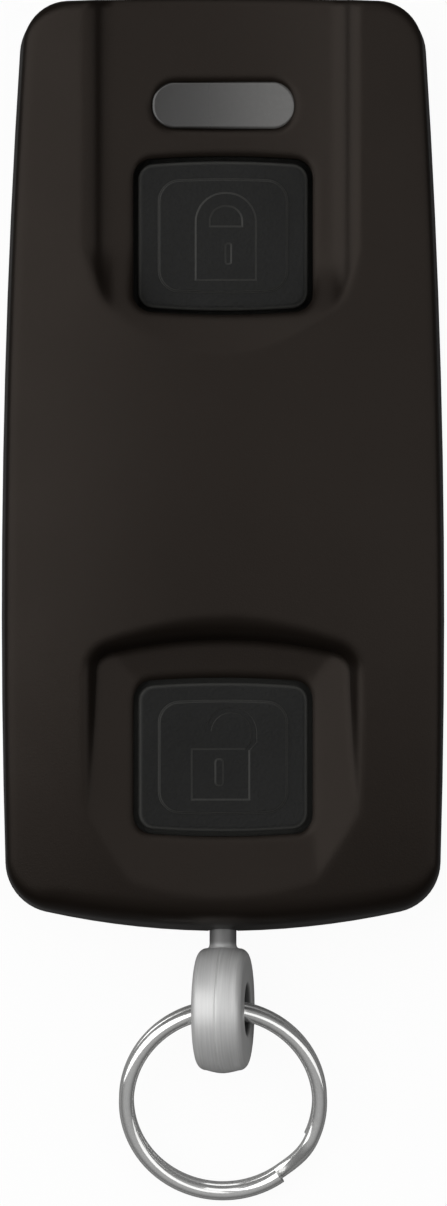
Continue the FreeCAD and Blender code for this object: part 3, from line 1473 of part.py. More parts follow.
def build_parts():
    """Every sub-part, in the order in which the remote goes together."""
    clip, leaf = battery_contacts()
    return [
        rear_shell(), battery_holder(), battery_cell(), clip, leaf, circuit_board(),
        switch_case("lock_switch_case", s.lock_station),
        switch_case("unlock_switch_case", s.unlock_station),
        switch_plunger("lock_switch_plunger", s.lock_station),
        switch_plunger("unlock_switch_plunger", s.unlock_station),
        board_part("status_led", s.led_length, s.led_width, s.led_height,
                   0.0, s.window_station),
        board_part("controller_chip", s.controller_side, s.controller_side, s.chip_height,
                   -s.controller_left, s.controller_station),
        board_part("radio_chip", s.radio_side, s.radio_side, s.chip_height,
                   s.radio_right, s.radio_station),
        board_part("crystal", s.crystal_length, s.crystal_width, s.crystal_height,
                   s.radio_right, s.crystal_station),
        small_parts("chip_capacitors", s.capacitor_station),
        small_parts("chip_resistors", s.resistor_station),
        antenna(), keypad_mat(),
        key("lock_button", s.lock_station, at["lock_rim"]),
        key("unlock_button", s.unlock_station, at["unlock_rim"]),
        web("lock_button_web", s.lock_station), web("unlock_button_web", s.unlock_station),
        status_window(), front_shell(), case_screws(), swivel_eyelet(), split_ring(),
    ]


def check_document():
    """Stops if any feature failed while the document was worked out."""
    for item in doc.Objects:
        if "Invalid" in item.State or "Error" in item.State:
            raise RuntimeError(f"{item.Label} could not be worked out: {item.State}")


def write_parts(parts):
    os.makedirs("parts", exist_ok=True)
    for part in parts:
        shape = part.Shape
        if shape.isNull() or not shape.isValid():
            raise RuntimeError(f"{part.Label} has no valid shape")
        shape.exportStep(f"parts/{part.Label}.step")
        print(f"{part.Label}: {len(shape.Solids)} solid, {shape.Volume:.1f} cubic mm")


remote = build_parts()
doc.recompute()
check_document()
write_parts(remote)
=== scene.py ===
# %% [markdown]
# # A smart lock remote control
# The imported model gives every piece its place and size, and this script dresses it. The case, the
# screws and everything inside keep their shapes and get finishes. The rubber keys with their
# webs, the status window, the eyelet and the split ring are made again, with softer edges and
# finer detail. An empty Blender file still holds a cube, a lamp and a camera, so they go first.

# %% Load the frame
import json
import math
import bmesh
import bpy
from mathutils import Matrix, Vector

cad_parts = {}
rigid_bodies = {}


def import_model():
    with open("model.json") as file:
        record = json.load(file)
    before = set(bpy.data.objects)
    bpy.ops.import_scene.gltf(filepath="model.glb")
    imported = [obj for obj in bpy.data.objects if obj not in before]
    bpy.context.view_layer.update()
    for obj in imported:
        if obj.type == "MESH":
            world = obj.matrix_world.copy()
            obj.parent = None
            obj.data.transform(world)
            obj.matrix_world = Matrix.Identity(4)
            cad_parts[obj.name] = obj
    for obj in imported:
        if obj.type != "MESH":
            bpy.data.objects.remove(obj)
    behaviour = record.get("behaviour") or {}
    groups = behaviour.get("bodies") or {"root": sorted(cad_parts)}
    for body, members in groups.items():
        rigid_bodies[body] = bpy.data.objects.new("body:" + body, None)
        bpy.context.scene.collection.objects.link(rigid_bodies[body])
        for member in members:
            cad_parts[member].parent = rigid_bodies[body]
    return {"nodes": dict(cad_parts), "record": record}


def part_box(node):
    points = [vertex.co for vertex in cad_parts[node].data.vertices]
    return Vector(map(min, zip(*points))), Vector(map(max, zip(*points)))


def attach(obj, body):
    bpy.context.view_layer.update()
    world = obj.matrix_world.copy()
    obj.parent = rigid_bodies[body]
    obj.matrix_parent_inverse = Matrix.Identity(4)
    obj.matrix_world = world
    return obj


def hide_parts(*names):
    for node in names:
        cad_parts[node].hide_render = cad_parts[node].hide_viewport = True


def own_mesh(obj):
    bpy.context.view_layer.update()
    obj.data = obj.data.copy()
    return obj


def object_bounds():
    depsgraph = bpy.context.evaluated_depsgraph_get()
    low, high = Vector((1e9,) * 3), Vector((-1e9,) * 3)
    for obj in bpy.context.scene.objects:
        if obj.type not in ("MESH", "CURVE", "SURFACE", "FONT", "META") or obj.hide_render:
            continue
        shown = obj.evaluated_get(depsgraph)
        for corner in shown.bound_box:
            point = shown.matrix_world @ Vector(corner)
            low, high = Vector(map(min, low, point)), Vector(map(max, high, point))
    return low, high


for leftover in list(bpy.data.objects):
    bpy.data.objects.remove(leftover, do_unlink=True)
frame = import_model()
cad_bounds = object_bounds()
nodes = frame["nodes"]
record = frame["record"]
MM = 0.001
print("the model spans", cad_bounds)

# %% [markdown]
# ## The camera
# The photograph looks straight down on the remote from far away, so the sides hardly show. A long
# lens a good way up does the same. The picture is 447 by 1206 pixels and the case measures 13.27
# pixels to the millimetre, which gives the height of the view at the case's parting line.

# %% Camera
PHOTO_WIDTH, PHOTO_HEIGHT = 447, 1206
PIXELS_PER_MM = 13.27
CASE_MIDDLE = (223.0, 466.5)
PARTING_HEIGHT = 5.2 * MM
CAMERA_RISE = 0.6
SENSOR = 36


def at_pixel(x, y):
    """The place on the remote, in metres, of a pixel of the photograph."""
    return ((x - CASE_MIDDLE[0]) / PIXELS_PER_MM * MM, (CASE_MIDDLE[1] - y) / PIXELS_PER_MM * MM)


view_x, view_y = at_pixel(PHOTO_WIDTH / 2, PHOTO_HEIGHT / 2)
camera_data = bpy.data.cameras.new("camera")
camera_data.sensor_fit = "VERTICAL"
camera_data.sensor_height = SENSOR
camera_data.lens = SENSOR * CAMERA_RISE / (PHOTO_HEIGHT / PIXELS_PER_MM * MM)
camera = bpy.data.objects.new("camera", camera_data)
camera.location = (view_x, view_y, PARTING_HEIGHT + CAMERA_RISE)
bpy.context.scene.collection.objects.link(camera)
bpy.context.scene.camera = camera
print("lens", round(camera_data.lens, 1), "mm")

# %% [markdown]
# ## Small helpers for node trees
# Every finish is a node tree. A few short helpers keep the cells readable: one adds a node and
# sets its values, one joins two sockets, and one starts a material with its Principled shader.
# The others make the steps that most finishes share: a tone between two, a product, a gloss and
# a bump.

# %% Node helpers
def add_node(tree, kind, **values):
    """A new node, with its settings, or its inputs' values where no setting has that name."""
    node = tree.nodes.new(kind)
    for name, value in values.items():
        if hasattr(node, name):
            setattr(node, name, value)
        else:
            node.inputs[name.replace("_", " ")].default_value = value
    return node


def join(tree, source, output, target, socket):
    """A link from a node's output to another node's input."""
    tree.links.new(source.outputs[output], target.inputs[socket])


def start_material(name, colour, roughness, **values):
    """A material with a Principled shader of plain values, ready for its pattern."""
    material = bpy.data.materials.new(name)
    material.use_nodes = True
    tree = material.node_tree
    tree.nodes.clear()
    output = add_node(tree, "ShaderNodeOutputMaterial")
    shader = add_node(tree, "ShaderNodeBsdfPrincipled", Base_Color=(*colour, 1),
                      Roughness=roughness, **values)
    join(tree, shader, "BSDF", output, "Surface")
    return material, tree, shader


def between(tree, dark, light, share):
    """A colour between two tones, by the share that a socket gives."""
    tones = add_node(tree, "ShaderNodeMix", data_type="RGBA", A=(*dark, 1), B=(*light, 1))
    tree.links.new(share, tones.inputs["Factor"])
    return tones.outputs["Result"]


def multiplied(tree, colour, share):
    """A colour times a share, both from sockets."""
    mixed = add_node(tree, "ShaderNodeMix", data_type="RGBA", blend_type="MULTIPLY", Factor=1)
    tree.links.new(colour, mixed.inputs["A"])
    tree.links.new(share, mixed.inputs["B"])
    return mixed.outputs["Result"]


def add_gloss(tree, source, output, rough, shiny, shader):
    """A roughness that runs between two values as a pattern does."""
    gloss = add_node(tree, "ShaderNodeMapRange", To_Min=rough, To_Max=shiny)
    join(tree, source, output, gloss, "Value")
    join(tree, gloss, "Result", shader, "Roughness")


def add_bump(tree, source, output, depth, shader):
    """A bump whose depth is in millimetres."""
    bump = add_node(tree, "ShaderNodeBump", Distance=depth * MM)
    join(tree, source, output, bump, "Height")
    join(tree, bump, "Normal", shader, "Normal")
    return bump


# %% [markdown]
# ## A shared effect: moulded grain
# Moulded plastic and rubber carry the texture of the mould: a fine even grain, a slow drift of
# tone, and places that hands have polished. A node group makes all of it once from noise at three
# sizes. It puts out a bump height, a tone and a polish that each material uses in its own measure.

# %% Moulded grain group
def new_group(name, inputs, outputs):
    """A shader node group: float inputs with a default, place inputs without one, float outputs."""
    group = bpy.data.node_groups.new(name, "ShaderNodeTree")
    for socket, value in inputs.items():
        kind = "NodeSocketFloat" if value is not None else "NodeSocketVector"
        made = group.interface.new_socket(socket, in_out="INPUT", socket_type=kind)
        if value is not None:
            made.default_value = value
    for socket in outputs:
        group.interface.new_socket(socket, in_out="OUTPUT", socket_type="NodeSocketFloat")
    entry = add_node(group, "NodeGroupInput")
    leave = add_node(group, "NodeGroupOutput")
    return group, entry, leave


def noise_between(tree, place, scale, low, high, detail=2.0, roughness=0.5):
    """Noise at one size, stretched so that most of it runs from 0 to 1."""
    noise = add_node(tree, "ShaderNodeTexNoise", Detail=detail, Roughness=roughness)
    if isinstance(scale, tuple):
        join(tree, *scale, noise, "Scale")
    else:
        noise.inputs["Scale"].default_value = scale
    join(tree, *place, noise, "Vector")
    spread = add_node(tree, "ShaderNodeMapRange", From_Min=low, From_Max=high)
    join(tree, noise, "Fac", spread, "Value")
    return spread


def make_moulded_grain():
    """The group of grain, drift and polish, over the object's own coordinates."""
    group, entry, leave = new_group("moulded_grain", {"Grain Scale": 9000.0},
                                    ("Height", "Tone", "Polish"))
    place = add_node(group, "ShaderNodeTexCoord")
    grain = noise_between(group, (place, "Object"), (entry, "Grain Scale"), 0.3, 0.7, 3.0, 0.6)
    drift = noise_between(group, (place, "Object"), 90.0, 0.35, 0.65)
    hands = noise_between(group, (place, "Object"), 140.0, 0.3, 0.75, 1.0, 0.4)
    join(group, grain, "Result", leave, "Height")
    join(group, drift, "Result", leave, "Tone")
    join(group, hands, "Result", leave, "Polish")
    return group


moulded_grain = make_moulded_grain()
print("made", moulded_grain.name)

# %% [markdown]
# ## A shared effect: fine scratches
# Keys and coins leave hairlines on metal and on glossy plastic. Noise that is stretched hard in
# one direction reads as a bundle of them. The group takes how long they are along each axis, so
# the same group makes the brushed look of the eyelet and the faint hairlines of the ring.

# %% Scratches group
def make_scratches():
    """The group of streaks and marks, over a place that the material gives."""
    group, entry, leave = new_group(
        "fine_scratches", {"Place": None, "Scale X": 6000.0, "Scale Y": 300.0, "Scale Z": 6000.0},
        ("Streaks", "Marks"))
    scale = add_node(group, "ShaderNodeCombineXYZ")
    stretch = add_node(group, "ShaderNodeVectorMath", operation="MULTIPLY")
    for axis in "XYZ":
        join(group, entry, f"Scale {axis}", scale, axis)
    join(group, entry, "Place", stretch, 0)
    join(group, scale, "Vector", stretch, 1)
    streaks = noise_between(group, (stretch, "Vector"), 1.0, 0.3, 0.7, 3.0)
    marks = noise_between(group, (entry, "Place"), 1400.0, 0.58, 0.72, 5.0, 0.65)
    join(group, streaks, "Result", leave, "Streaks")
    join(group, marks, "Result", leave, "Marks")
    return group


fine_scratches = make_scratches()
print("made", fine_scratches.name)

# %% [markdown]
# ## The finishes of plastic and rubber
# The case is black plastic with a satin grain, and the keys are black silicone with a coarser
# speckle that keeps them dull. Both are one recipe: the grain goes to a Bump node, the tone mixes
# two near blacks, and the polish lowers the roughness where fingers rub. A Bevel node rounds the
# case's edges in the light only, as a mould's edges are never quite sharp.

# %% Plastic and rubber recipe
# Painted highlight on the keys: their colour turns lighter as the surface slopes between these
# normals.
SLOPE_HIGHLIGHT_STARTS, SLOPE_HIGHLIGHT_FULL = 0.985, 0.80
BEVEL_SAMPLES = 8


def slopes_with_painted_highlight(tree, colour, light):
    """Painted highlight: a lighter colour where the surface slopes, on the edges of the keys and
    their signs.
    """
    place = add_node(tree, "ShaderNodeTexCoord")
    parts = add_node(tree, "ShaderNodeSeparateXYZ")
    join(tree, place, "Normal", parts, "Vector")
    slope = add_node(tree, "ShaderNodeMapRange", From_Min=SLOPE_HIGHLIGHT_STARTS, From_Max=SLOPE_HIGHLIGHT_FULL)
    join(tree, parts, "Z", slope, "Value")
    mixed = add_node(tree, "ShaderNodeMix", data_type="RGBA", B=(*light, 1))
    join(tree, slope, "Result", mixed, "Factor")
    tree.links.new(colour, mixed.inputs["A"])
    return mixed.outputs["Result"]


def moulded(name, dark, light, rough, shiny, grain_scale, grain_depth, speckle=0.2, soft=0.0,
            slope_highlight=None, **values):
    """A moulded finish between two tones and two roughnesses, with the mould's grain as bump."""
    material, tree, shader = start_material(name, light, rough, **values)
    grain = add_node(tree, "ShaderNodeGroup", node_tree=moulded_grain, Grain_Scale=grain_scale)
    shares = add_node(tree, "ShaderNodeMix", data_type="FLOAT", Factor=speckle)
    join(tree, grain, "Tone", shares, "A")
    join(tree, grain, "Height", shares, "B")
    colour = between(tree, dark, light, shares.outputs["Result"])
    # painted highlight on sloping surfaces
    if slope_highlight:
        colour = slopes_with_painted_highlight(tree, colour, slope_highlight)
    tree.links.new(colour, shader.inputs["Base Color"])
    add_gloss(tree, grain, "Polish", rough, shiny, shader)
    bump = add_bump(tree, grain, "Height", grain_depth, shader)
    if soft:
        rounding = add_node(tree, "ShaderNodeBevel", samples=BEVEL_SAMPLES, Radius=soft * MM)
        join(tree, rounding, "Normal", bump, "Normal")
    return material


case_plastic = moulded("case_plastic", (0.0068, 0.0050, 0.0039), (0.0082, 0.0061, 0.0048),
                       0.34, 0.29, 7000.0, 0.004, soft=1.0, Specular_IOR_Level=0.21,
                       Specular_Tint=(1.0, 0.86, 0.76, 1.0))
# the keys' rubber carries a painted highlight on its slopes
key_rubber = moulded("key_rubber", (0.0028, 0.0029, 0.0026), (0.0078, 0.0080, 0.0073),
                     0.62, 0.52, 4200.0, 0.02, speckle=0.75, slope_highlight=(0.048, 0.048, 0.045),
                     Specular_IOR_Level=0.225)
mat_rubber = moulded("mat_rubber", (0.014, 0.014, 0.014), (0.018, 0.018, 0.018),
                     0.7, 0.6, 5000.0, 0.01)
print("plastic and rubber are ready")

# %% [markdown]
# ## Metal finishes
# The eyelet is cast and brushed: satin, with fine streaks that lean as its bore does. The ring is
# spring steel with bright nickel over it. Bare metal would have a Metallic of 1. Both have dulled
# in use, the eyelet more than the ring, so a share of plain grey shows through. Shade is painted
# into the eyelet's colour: it is darker in its bore and where its stem turns in the case.

# %% Metal recipe
EYELET_LEAN = math.radians(7.5)
EYELET_MIDDLE = Vector((0, -40.9 * MM, PARTING_HEIGHT))
# Painted shade on the eyelet: where its colour darkens, along y at the stem and round the bore's
# axis.
STEM_SHADE_SPAN, STEM_SHADE_SHARES = (-36.5 * MM, -35.7 * MM), (1.0, 0.25)
BORE_SHADE_SPAN, BORE_SHADE_SHARES = (1.8 * MM, 2.2 * MM), (0.1, 1.0)


def dimmed(tree, measure, colour, places, shares):
    """The colour times a share that runs from one value to another as a measure grows."""
    share = add_node(tree, "ShaderNodeMapRange", interpolation_type="SMOOTHSTEP",
                     From_Min=places[0], From_Max=places[1], To_Min=shares[0], To_Max=shares[1])
    tree.links.new(measure, share.inputs["Value"])
    return multiplied(tree, colour, share.outputs["Result"])


def painted_stem_and_bore_shade(tree, place, colour):
    """Painted shade: darkens the eyelet's colour at its stem, next to the case, and in its bore."""
    parts = add_node(tree, "ShaderNodeSeparateXYZ")
    join(tree, place, "Object", parts, "Vector")
    # painted shade on the stem, where the case shades it
    colour = dimmed(tree, parts.outputs["Y"], colour, STEM_SHADE_SPAN, STEM_SHADE_SHARES)
    # painted shade in the bore, by distance from its axis
    centred = add_node(tree, "ShaderNodeVectorMath", operation="SUBTRACT")
    centred.inputs[1].default_value = EYELET_MIDDLE
    join(tree, place, "Object", centred, 0)
    turned = add_node(tree, "ShaderNodeVectorRotate", rotation_type="Y_AXIS", Angle=EYELET_LEAN)
    join(tree, centred, "Vector", turned, "Vector")
    flat = add_node(tree, "ShaderNodeVectorMath", operation="MULTIPLY")
    flat.inputs[1].default_value = (0, 1, 1)
    join(tree, turned, "Vector", flat, 0)
    reach = add_node(tree, "ShaderNodeVectorMath", operation="LENGTH")
    join(tree, flat, "Vector", reach, 0)
    return dimmed(tree, reach.outputs["Value"], colour, BORE_SHADE_SPAN, BORE_SHADE_SHARES)


def metal(name, dark, light, smooth, dull, streaks, depth, mark_share=0.12, lean=0.0,
          metallic=1.0, shade_stem_and_bore=False):
    """A metal whose hairlines run along one axis, in a frame that leans about the y axis."""
    material, tree, shader = start_material(name, light, smooth, Metallic=metallic)
    lines = add_node(tree, "ShaderNodeGroup", node_tree=fine_scratches, Scale_X=streaks[0],
                     Scale_Y=streaks[1], Scale_Z=streaks[2])
    place = add_node(tree, "ShaderNodeTexCoord")
    if lean:
        turn = add_node(tree, "ShaderNodeVectorRotate", rotation_type="Y_AXIS", Angle=lean)
        join(tree, place, "Object", turn, "Vector")
        join(tree, turn, "Vector", lines, "Place")
    else:
        join(tree, place, "Object", lines, "Place")
    colour = between(tree, dark, light, lines.outputs["Streaks"])
    # painted shade at the stem and in the bore
    if shade_stem_and_bore:
        colour = painted_stem_and_bore_shade(tree, place, colour)
    tree.links.new(colour, shader.inputs["Base Color"])
    spread = add_node(tree, "ShaderNodeMapRange", To_Min=smooth, To_Max=dull)
    join(tree, lines, "Streaks", spread, "Value")
    wear = add_node(tree, "ShaderNodeMath", operation="MULTIPLY_ADD")
    join(tree, lines, "Marks", wear, 0)
    wear.inputs[1].default_value = mark_share
    join(tree, spread, "Result", wear, 2)
    join(tree, wear, "Value", shader, "Roughness")
    add_bump(tree, lines, "Streaks", depth, shader)
    return material


# the eyelet's colour carries painted shade at its stem and in its bore
eyelet_metal = metal("eyelet_metal", (0.64, 0.64, 0.635), (0.74, 0.74, 0.735), 0.42, 0.52,
                     (11000.0, 200.0, 200.0), 0.002, lean=EYELET_LEAN, metallic=0.4, shade_stem_and_bore=True)
ring_steel = metal("ring_steel", (0.93, 0.93, 0.92), (0.98, 0.98, 0.97), 0.09, 0.13,
                   (1500.0, 1500.0, 9000.0), 0.0006, 0.06, metallic=0.75)
screw_steel = metal("screw_steel", (0.10, 0.10, 0.10), (0.16, 0.16, 0.16), 0.30, 0.42,
                    (3000.0, 3000.0, 3000.0), 0.002)
print("metals are ready")

# %% [markdown]
# ## Finishes inside the case
# The parts inside hardly show, but they still get their real finishes, so that the remote can be
# opened up. The recipes above make all of them: green solder mask, black epoxy, tan ceramic.
# Each row gives the two tones, the two roughnesses, the scale of the pattern and its depth.

# %% Inner finishes
INNER_MOULDED = {
    "holder_plastic": ((0.04, 0.04, 0.04), (0.05, 0.05, 0.05), 0.5, 0.4, 5000.0, 0.006),
    "board_laminate": ((0.012, 0.09, 0.035), (0.02, 0.12, 0.05), 0.35, 0.25, 3000.0, 0.004),
    "switch_plastic": ((0.02, 0.02, 0.02), (0.03, 0.03, 0.03), 0.5, 0.4, 6000.0, 0.004),
    "plunger_plastic": ((0.25, 0.16, 0.08), (0.30, 0.20, 0.10), 0.45, 0.35, 6000.0, 0.003),
    "led_body": ((0.80, 0.78, 0.64), (0.85, 0.83, 0.70), 0.2, 0.12, 3000.0, 0.001),
    "chip_epoxy": ((0.015, 0.015, 0.015), (0.022, 0.022, 0.022), 0.6, 0.5, 8000.0, 0.005),
    "capacitor_ceramic": ((0.30, 0.22, 0.14), (0.38, 0.28, 0.18), 0.5, 0.4, 6000.0, 0.003),
    "resistor_body": ((0.02, 0.02, 0.025), (0.04, 0.04, 0.045), 0.4, 0.3, 6000.0, 0.002),
}
EVEN = (3000.0, 3000.0, 3000.0)
INNER_METALS = {
    "cell_steel": ((0.50, 0.50, 0.48), (0.62, 0.62, 0.60), 0.25, 0.35,
                   (3000.0, 200.0, 3000.0), 0.001),
    "contact_nickel": ((0.50, 0.47, 0.40), (0.60, 0.57, 0.50), 0.25, 0.35,
                       (3000.0, 300.0, 3000.0), 0.001),
    "crystal_can": ((0.55, 0.54, 0.50), (0.68, 0.67, 0.63), 0.2, 0.3, EVEN, 0.001),
    "antenna_wire": ((0.55, 0.30, 0.16), (0.72, 0.42, 0.24), 0.2, 0.3, EVEN, 0.001),
}
inner_finishes = {name: moulded(name, *values) for name, values in INNER_MOULDED.items()}
inner_finishes.update({name: metal(name, *values) for name, values in INNER_METALS.items()})
print("inner finishes", *inner_finishes)

# %% [markdown]
# ## Give the model's own pieces their finishes
# The record names a finish for each node. A node that stays in view gets its material by taking
# over the slots of its object, which leaves its mesh as it is.

# %% Dress the nodes
finishes = dict(inner_finishes, case_plastic=case_plastic, key_rubber=key_rubber,
                mat_rubber=mat_rubber, eyelet_metal=eyelet_metal, ring_steel=ring_steel,
                screw_steel=screw_steel)
NODE_FINISHES = {
    "rear_shell": "case_plastic", "front_shell": "case_plastic",
    "battery_holder": "holder_plastic", "battery_cell": "cell_steel",
    "battery_contact_positive": "contact_nickel", "battery_contact_negative": "contact_nickel",
    "circuit_board": "board_laminate",
    "lock_switch_case": "switch_plastic", "unlock_switch_case": "switch_plastic",
    "lock_switch_plunger": "plunger_plastic", "unlock_switch_plunger": "plunger_plastic",
    "status_led": "led_body", "controller_chip": "chip_epoxy", "radio_chip": "chip_epoxy",
    "crystal": "crystal_can", "chip_capacitors": "capacitor_ceramic",
    "chip_resistors": "resistor_body", "wire_antenna": "antenna_wire",
    "keypad_mat": "mat_rubber", "lock_button": "key_rubber", "unlock_button": "key_rubber",
    "lock_button_web": "key_rubber", "unlock_button_web": "key_rubber",
    "case_screws": "screw_steel", "swivel_eyelet": "eyelet_metal",
}
for node, finish in NODE_FINISHES.items():
    slots = nodes[node].data.materials
    slots.clear()
    slots.append(finishes[finish])
print("dressed", len(NODE_FINISHES), "nodes")

# %% [markdown]
# ## From a bmesh to a piece
# A bmesh becomes a mesh object that shades smoothly up to an angle. Each piece then rides on its
# body and takes its finish, and the node that it replaces is hidden.

# %% Piece helper
def add_piece(name, bm, material, body, replaced, sharp=math.radians(40)):
    """A finished piece: its object at the origin, its place in its mesh."""
    mesh = bpy.data.meshes.new(name)
    bm.to_mesh(mesh)
    bm.free()
    mesh.shade_smooth()
    mesh.set_sharp_from_angle(angle=sharp)
    mesh.materials.append(material)
    piece = bpy.data.objects.new(name, mesh)
    bpy.context.scene.collection.objects.link(piece)
    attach(piece, body)
    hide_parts(replaced)
    print(name, "has", len(mesh.polygons), "faces")
    return piece


# %% [markdown]
# ## Joining and carving
# Panels, stubs and signs are joined to a key, or cut out of it, by a Boolean modifier. It is
# applied at once, because a mesh is easier to trust than a live chain. The Manifold solver leaves
# no open edge, as long as no two faces lie exactly in one plane.

# %% Boolean helper
CARVED_SHARP = math.radians(25)


def carve(piece, bm, operation):
    """Cuts a shape out of a piece, or joins it on, for good."""
    mesh = bpy.data.meshes.new("tool")
    bm.to_mesh(mesh)
    bm.free()
    tool = bpy.data.objects.new("tool", mesh)
    bpy.context.scene.collection.objects.link(tool)
    modifier = piece.modifiers.new("carve", "BOOLEAN")
    modifier.operation = operation
    modifier.object = tool
    modifier.solver = "MANIFOLD"
    bpy.context.view_layer.update()
    evaluated = piece.evaluated_get(bpy.context.evaluated_depsgraph_get())
    result = bpy.data.meshes.new_from_object(evaluated)
    piece.modifiers.clear()
    piece.data = result
    bpy.data.objects.remove(tool)
    result.shade_smooth()
    result.set_sharp_from_angle(angle=CARVED_SHARP)


# %% [markdown]
# ## The split ring
# A split ring is one length of spring wire wound twice round, that steps from the lower turn to
# the upper one at one place. Its section is an oval, a little flattened. Spinning the section
# makes each turn: a spin with no rise for the two turns, and a few small spins with a little rise
# for the step.

# %% Split ring
RING_DIAMETER = 15.74 * MM
WIRE_WIDTH, WIRE_HEIGHT, WIRE_SIDES = 1.13 * MM, 0.92 * MM, 24
TURN_GAP = 0.06 * MM
STEP_PLACE, STEP_SPAN = math.radians(-39), math.radians(15)
TURN_STEPS, CROSS_STEPS = 150, 16
SAME_PLACE = 1e-7
UP = Vector((0, 0, 1))


def wire_end(bm, level):
    """The wire's oval section as one face, standing at the ring's radius on the x axis."""
    made = bmesh.ops.create_circle(bm, cap_ends=True, segments=WIRE_SIDES, radius=0.5)
    turn = Matrix.Rotation(math.pi / 2, 4, "X")
    size = Matrix.Diagonal((WIRE_WIDTH, 1, WIRE_HEIGHT, 1))
    place = Matrix.Translation(((RING_DIAMETER - WIRE_WIDTH) / 2, 0, level))
    bmesh.ops.transform(bm, matrix=place @ size @ turn, verts=made["verts"])
    return list(bm.faces)


def sweep(bm, geom, angle, steps, rise=0.0):
    """Spins the section on by an angle, with a rise at each step, and returns its far end."""
    made = bmesh.ops.spin(bm, geom=geom, cent=(0, 0, 0), axis=UP, dvec=UP * rise, angle=angle,
                          steps=steps, use_duplicate=False)
    return made["geom_last"]


def build_ring():
    """Two turns of wire, joined by the step between them."""
    bm = bmesh.new()
    level = (WIRE_HEIGHT + TURN_GAP) / 2
    section = wire_end(bm, -level)
    bmesh.ops.rotate(bm, cent=(0, 0, 0), matrix=Matrix.Rotation(STEP_PLACE + STEP_SPAN, 3, "Z"),
                     verts=bm.verts)
    turn = 2 * (math.pi - STEP_SPAN)
    geom = sweep(bm, section, turn, TURN_STEPS)
    height = -level
    for step in range(CROSS_STEPS):
        following = -level * math.cos(math.pi * (step + 1) / CROSS_STEPS)
        geom = sweep(bm, geom, 2 * STEP_SPAN / CROSS_STEPS, 1, following - height)
        height = following
    sweep(bm, geom, turn, TURN_STEPS)
    bmesh.ops.remove_doubles(bm, verts=bm.verts, dist=SAME_PLACE)
    bmesh.ops.recalc_face_normals(bm, faces=bm.faces)
    return bm


# %% [markdown]
# The ring leans in the eyelet as it does in the photograph. The record's mount for the loop gives
# its middle and its axis, so the ring is made flat and then turned and moved there.

# %% Split ring placed
loop = next(mount for mount in record["mounts"] if mount["name"] == "key_ring_loop")
lean = UP.rotation_difference(Vector(loop["axis"])).to_matrix().to_4x4()
ring_bm = build_ring()
bmesh.ops.transform(ring_bm, matrix=Matrix.Translation(loop["pos_m"]) @ lean, verts=ring_bm.verts)
add_piece("split_ring_wire", ring_bm, ring_steel, "key_ring", "split_ring")

# %% [markdown]
# ## The swivel eyelet
# The eyelet is a casting. Its rim bulges a little towards the seam where the mould's halves met,
# its edges are well rounded, and the bore opens like a trumpet. Turning one profile about the bore
# makes the disc, and turning another about the stem makes the stem with its collar.

# %% Swivel eyelet
DISC_RADIUS, DISC_HALF = 4.825 * MM, 1.9 * MM
DISC_CORNER, DISC_BULGE, BULGE_POWER = 0.7 * MM, 0.22 * MM, 1.6
SEAM_WIDTH, SEAM_DEPTH = 0.05 * MM, 0.03 * MM
BORE_RADIUS, BORE_FLARE = 1.7 * MM, 0.55 * MM
STEM_RADIUS, STEM_FILLET, STEM_END = 1.015 * MM, 0.4 * MM, 10.4 * MM
ROOT_DEPTH, FILLET_RISE = 1.2 * MM, 0.08 * MM
COLLAR_START, COLLAR_RADIUS, COLLAR_LENGTH = 8.1 * MM, 1.9 * MM, 0.9 * MM
ARC_STEPS, FILLET_STEPS = 8, 6
DISC_TURNS, STEM_TURNS = 96, 48
CAST_SHARP = math.radians(50)


def arc_points(middle, radius, first, last, steps=ARC_STEPS):
    """Points on an arc between two angles in degrees."""
    angles = [math.radians(first + (last - first) * step / steps) for step in range(steps + 1)]
    return [(middle[0] + radius * math.cos(a), middle[1] + radius * math.sin(a)) for a in angles]


def turn_profile(bm, points, axis, steps):
    """Turns a closed profile, of places along an axis and radii, about that axis."""
    verts = [bm.verts.new(axis * along + UP * radius) for along, radius in points]
    edges = [bm.edges.new(pair) for pair in zip(verts, verts[1:] + verts[:1])]
    bmesh.ops.spin(bm, geom=verts + edges, cent=(0, 0, 0), axis=axis, angle=2 * math.pi,
                   steps=steps, use_duplicate=False)
    bmesh.ops.remove_doubles(bm, verts=bm.verts, dist=SAME_PLACE)
    bmesh.ops.recalc_face_normals(bm, faces=bm.faces)


def disc_profile():
    """Half of the disc's section, from the seam over the rim and the face into the bore."""
    shoulder = DISC_HALF - DISC_CORNER
    rim = [(0.0, DISC_RADIUS - SEAM_DEPTH)]
    for step in range(ARC_STEPS + 1):
        along = SEAM_WIDTH + (shoulder - SEAM_WIDTH) * step / ARC_STEPS
        rim.append((along, DISC_RADIUS - DISC_BULGE * (along / shoulder) ** BULGE_POWER))
    low = DISC_RADIUS - DISC_BULGE - DISC_CORNER
    corner = arc_points((shoulder, low), DISC_CORNER, 75, 0)
    mouth = arc_points((DISC_HALF - BORE_FLARE, BORE_RADIUS + BORE_FLARE), BORE_FLARE, 0, -90)
    return rim + corner + mouth


def stem_profile():
    """The stem's section: a filleted root in the disc, the stem, the collar and its tail."""
    root, foot = DISC_RADIUS - ROOT_DEPTH, STEM_RADIUS + STEM_FILLET
    collar_end = COLLAR_START + COLLAR_LENGTH
    points = [(root, 0.0), (root, foot)]
    points += arc_points((DISC_RADIUS + FILLET_RISE, foot), STEM_FILLET, 180, 270, FILLET_STEPS)
    points += [(COLLAR_START, STEM_RADIUS), (COLLAR_START, COLLAR_RADIUS),
               (collar_end, COLLAR_RADIUS), (collar_end, STEM_RADIUS),
               (STEM_END, STEM_RADIUS), (STEM_END, 0.0)]
    return points


def absorb(bm, part):
    """Adds one bmesh to another."""
    scratch = bpy.data.meshes.new("scratch")
    part.to_mesh(scratch)
    part.free()
    bm.from_mesh(scratch)
    bpy.data.meshes.remove(scratch)


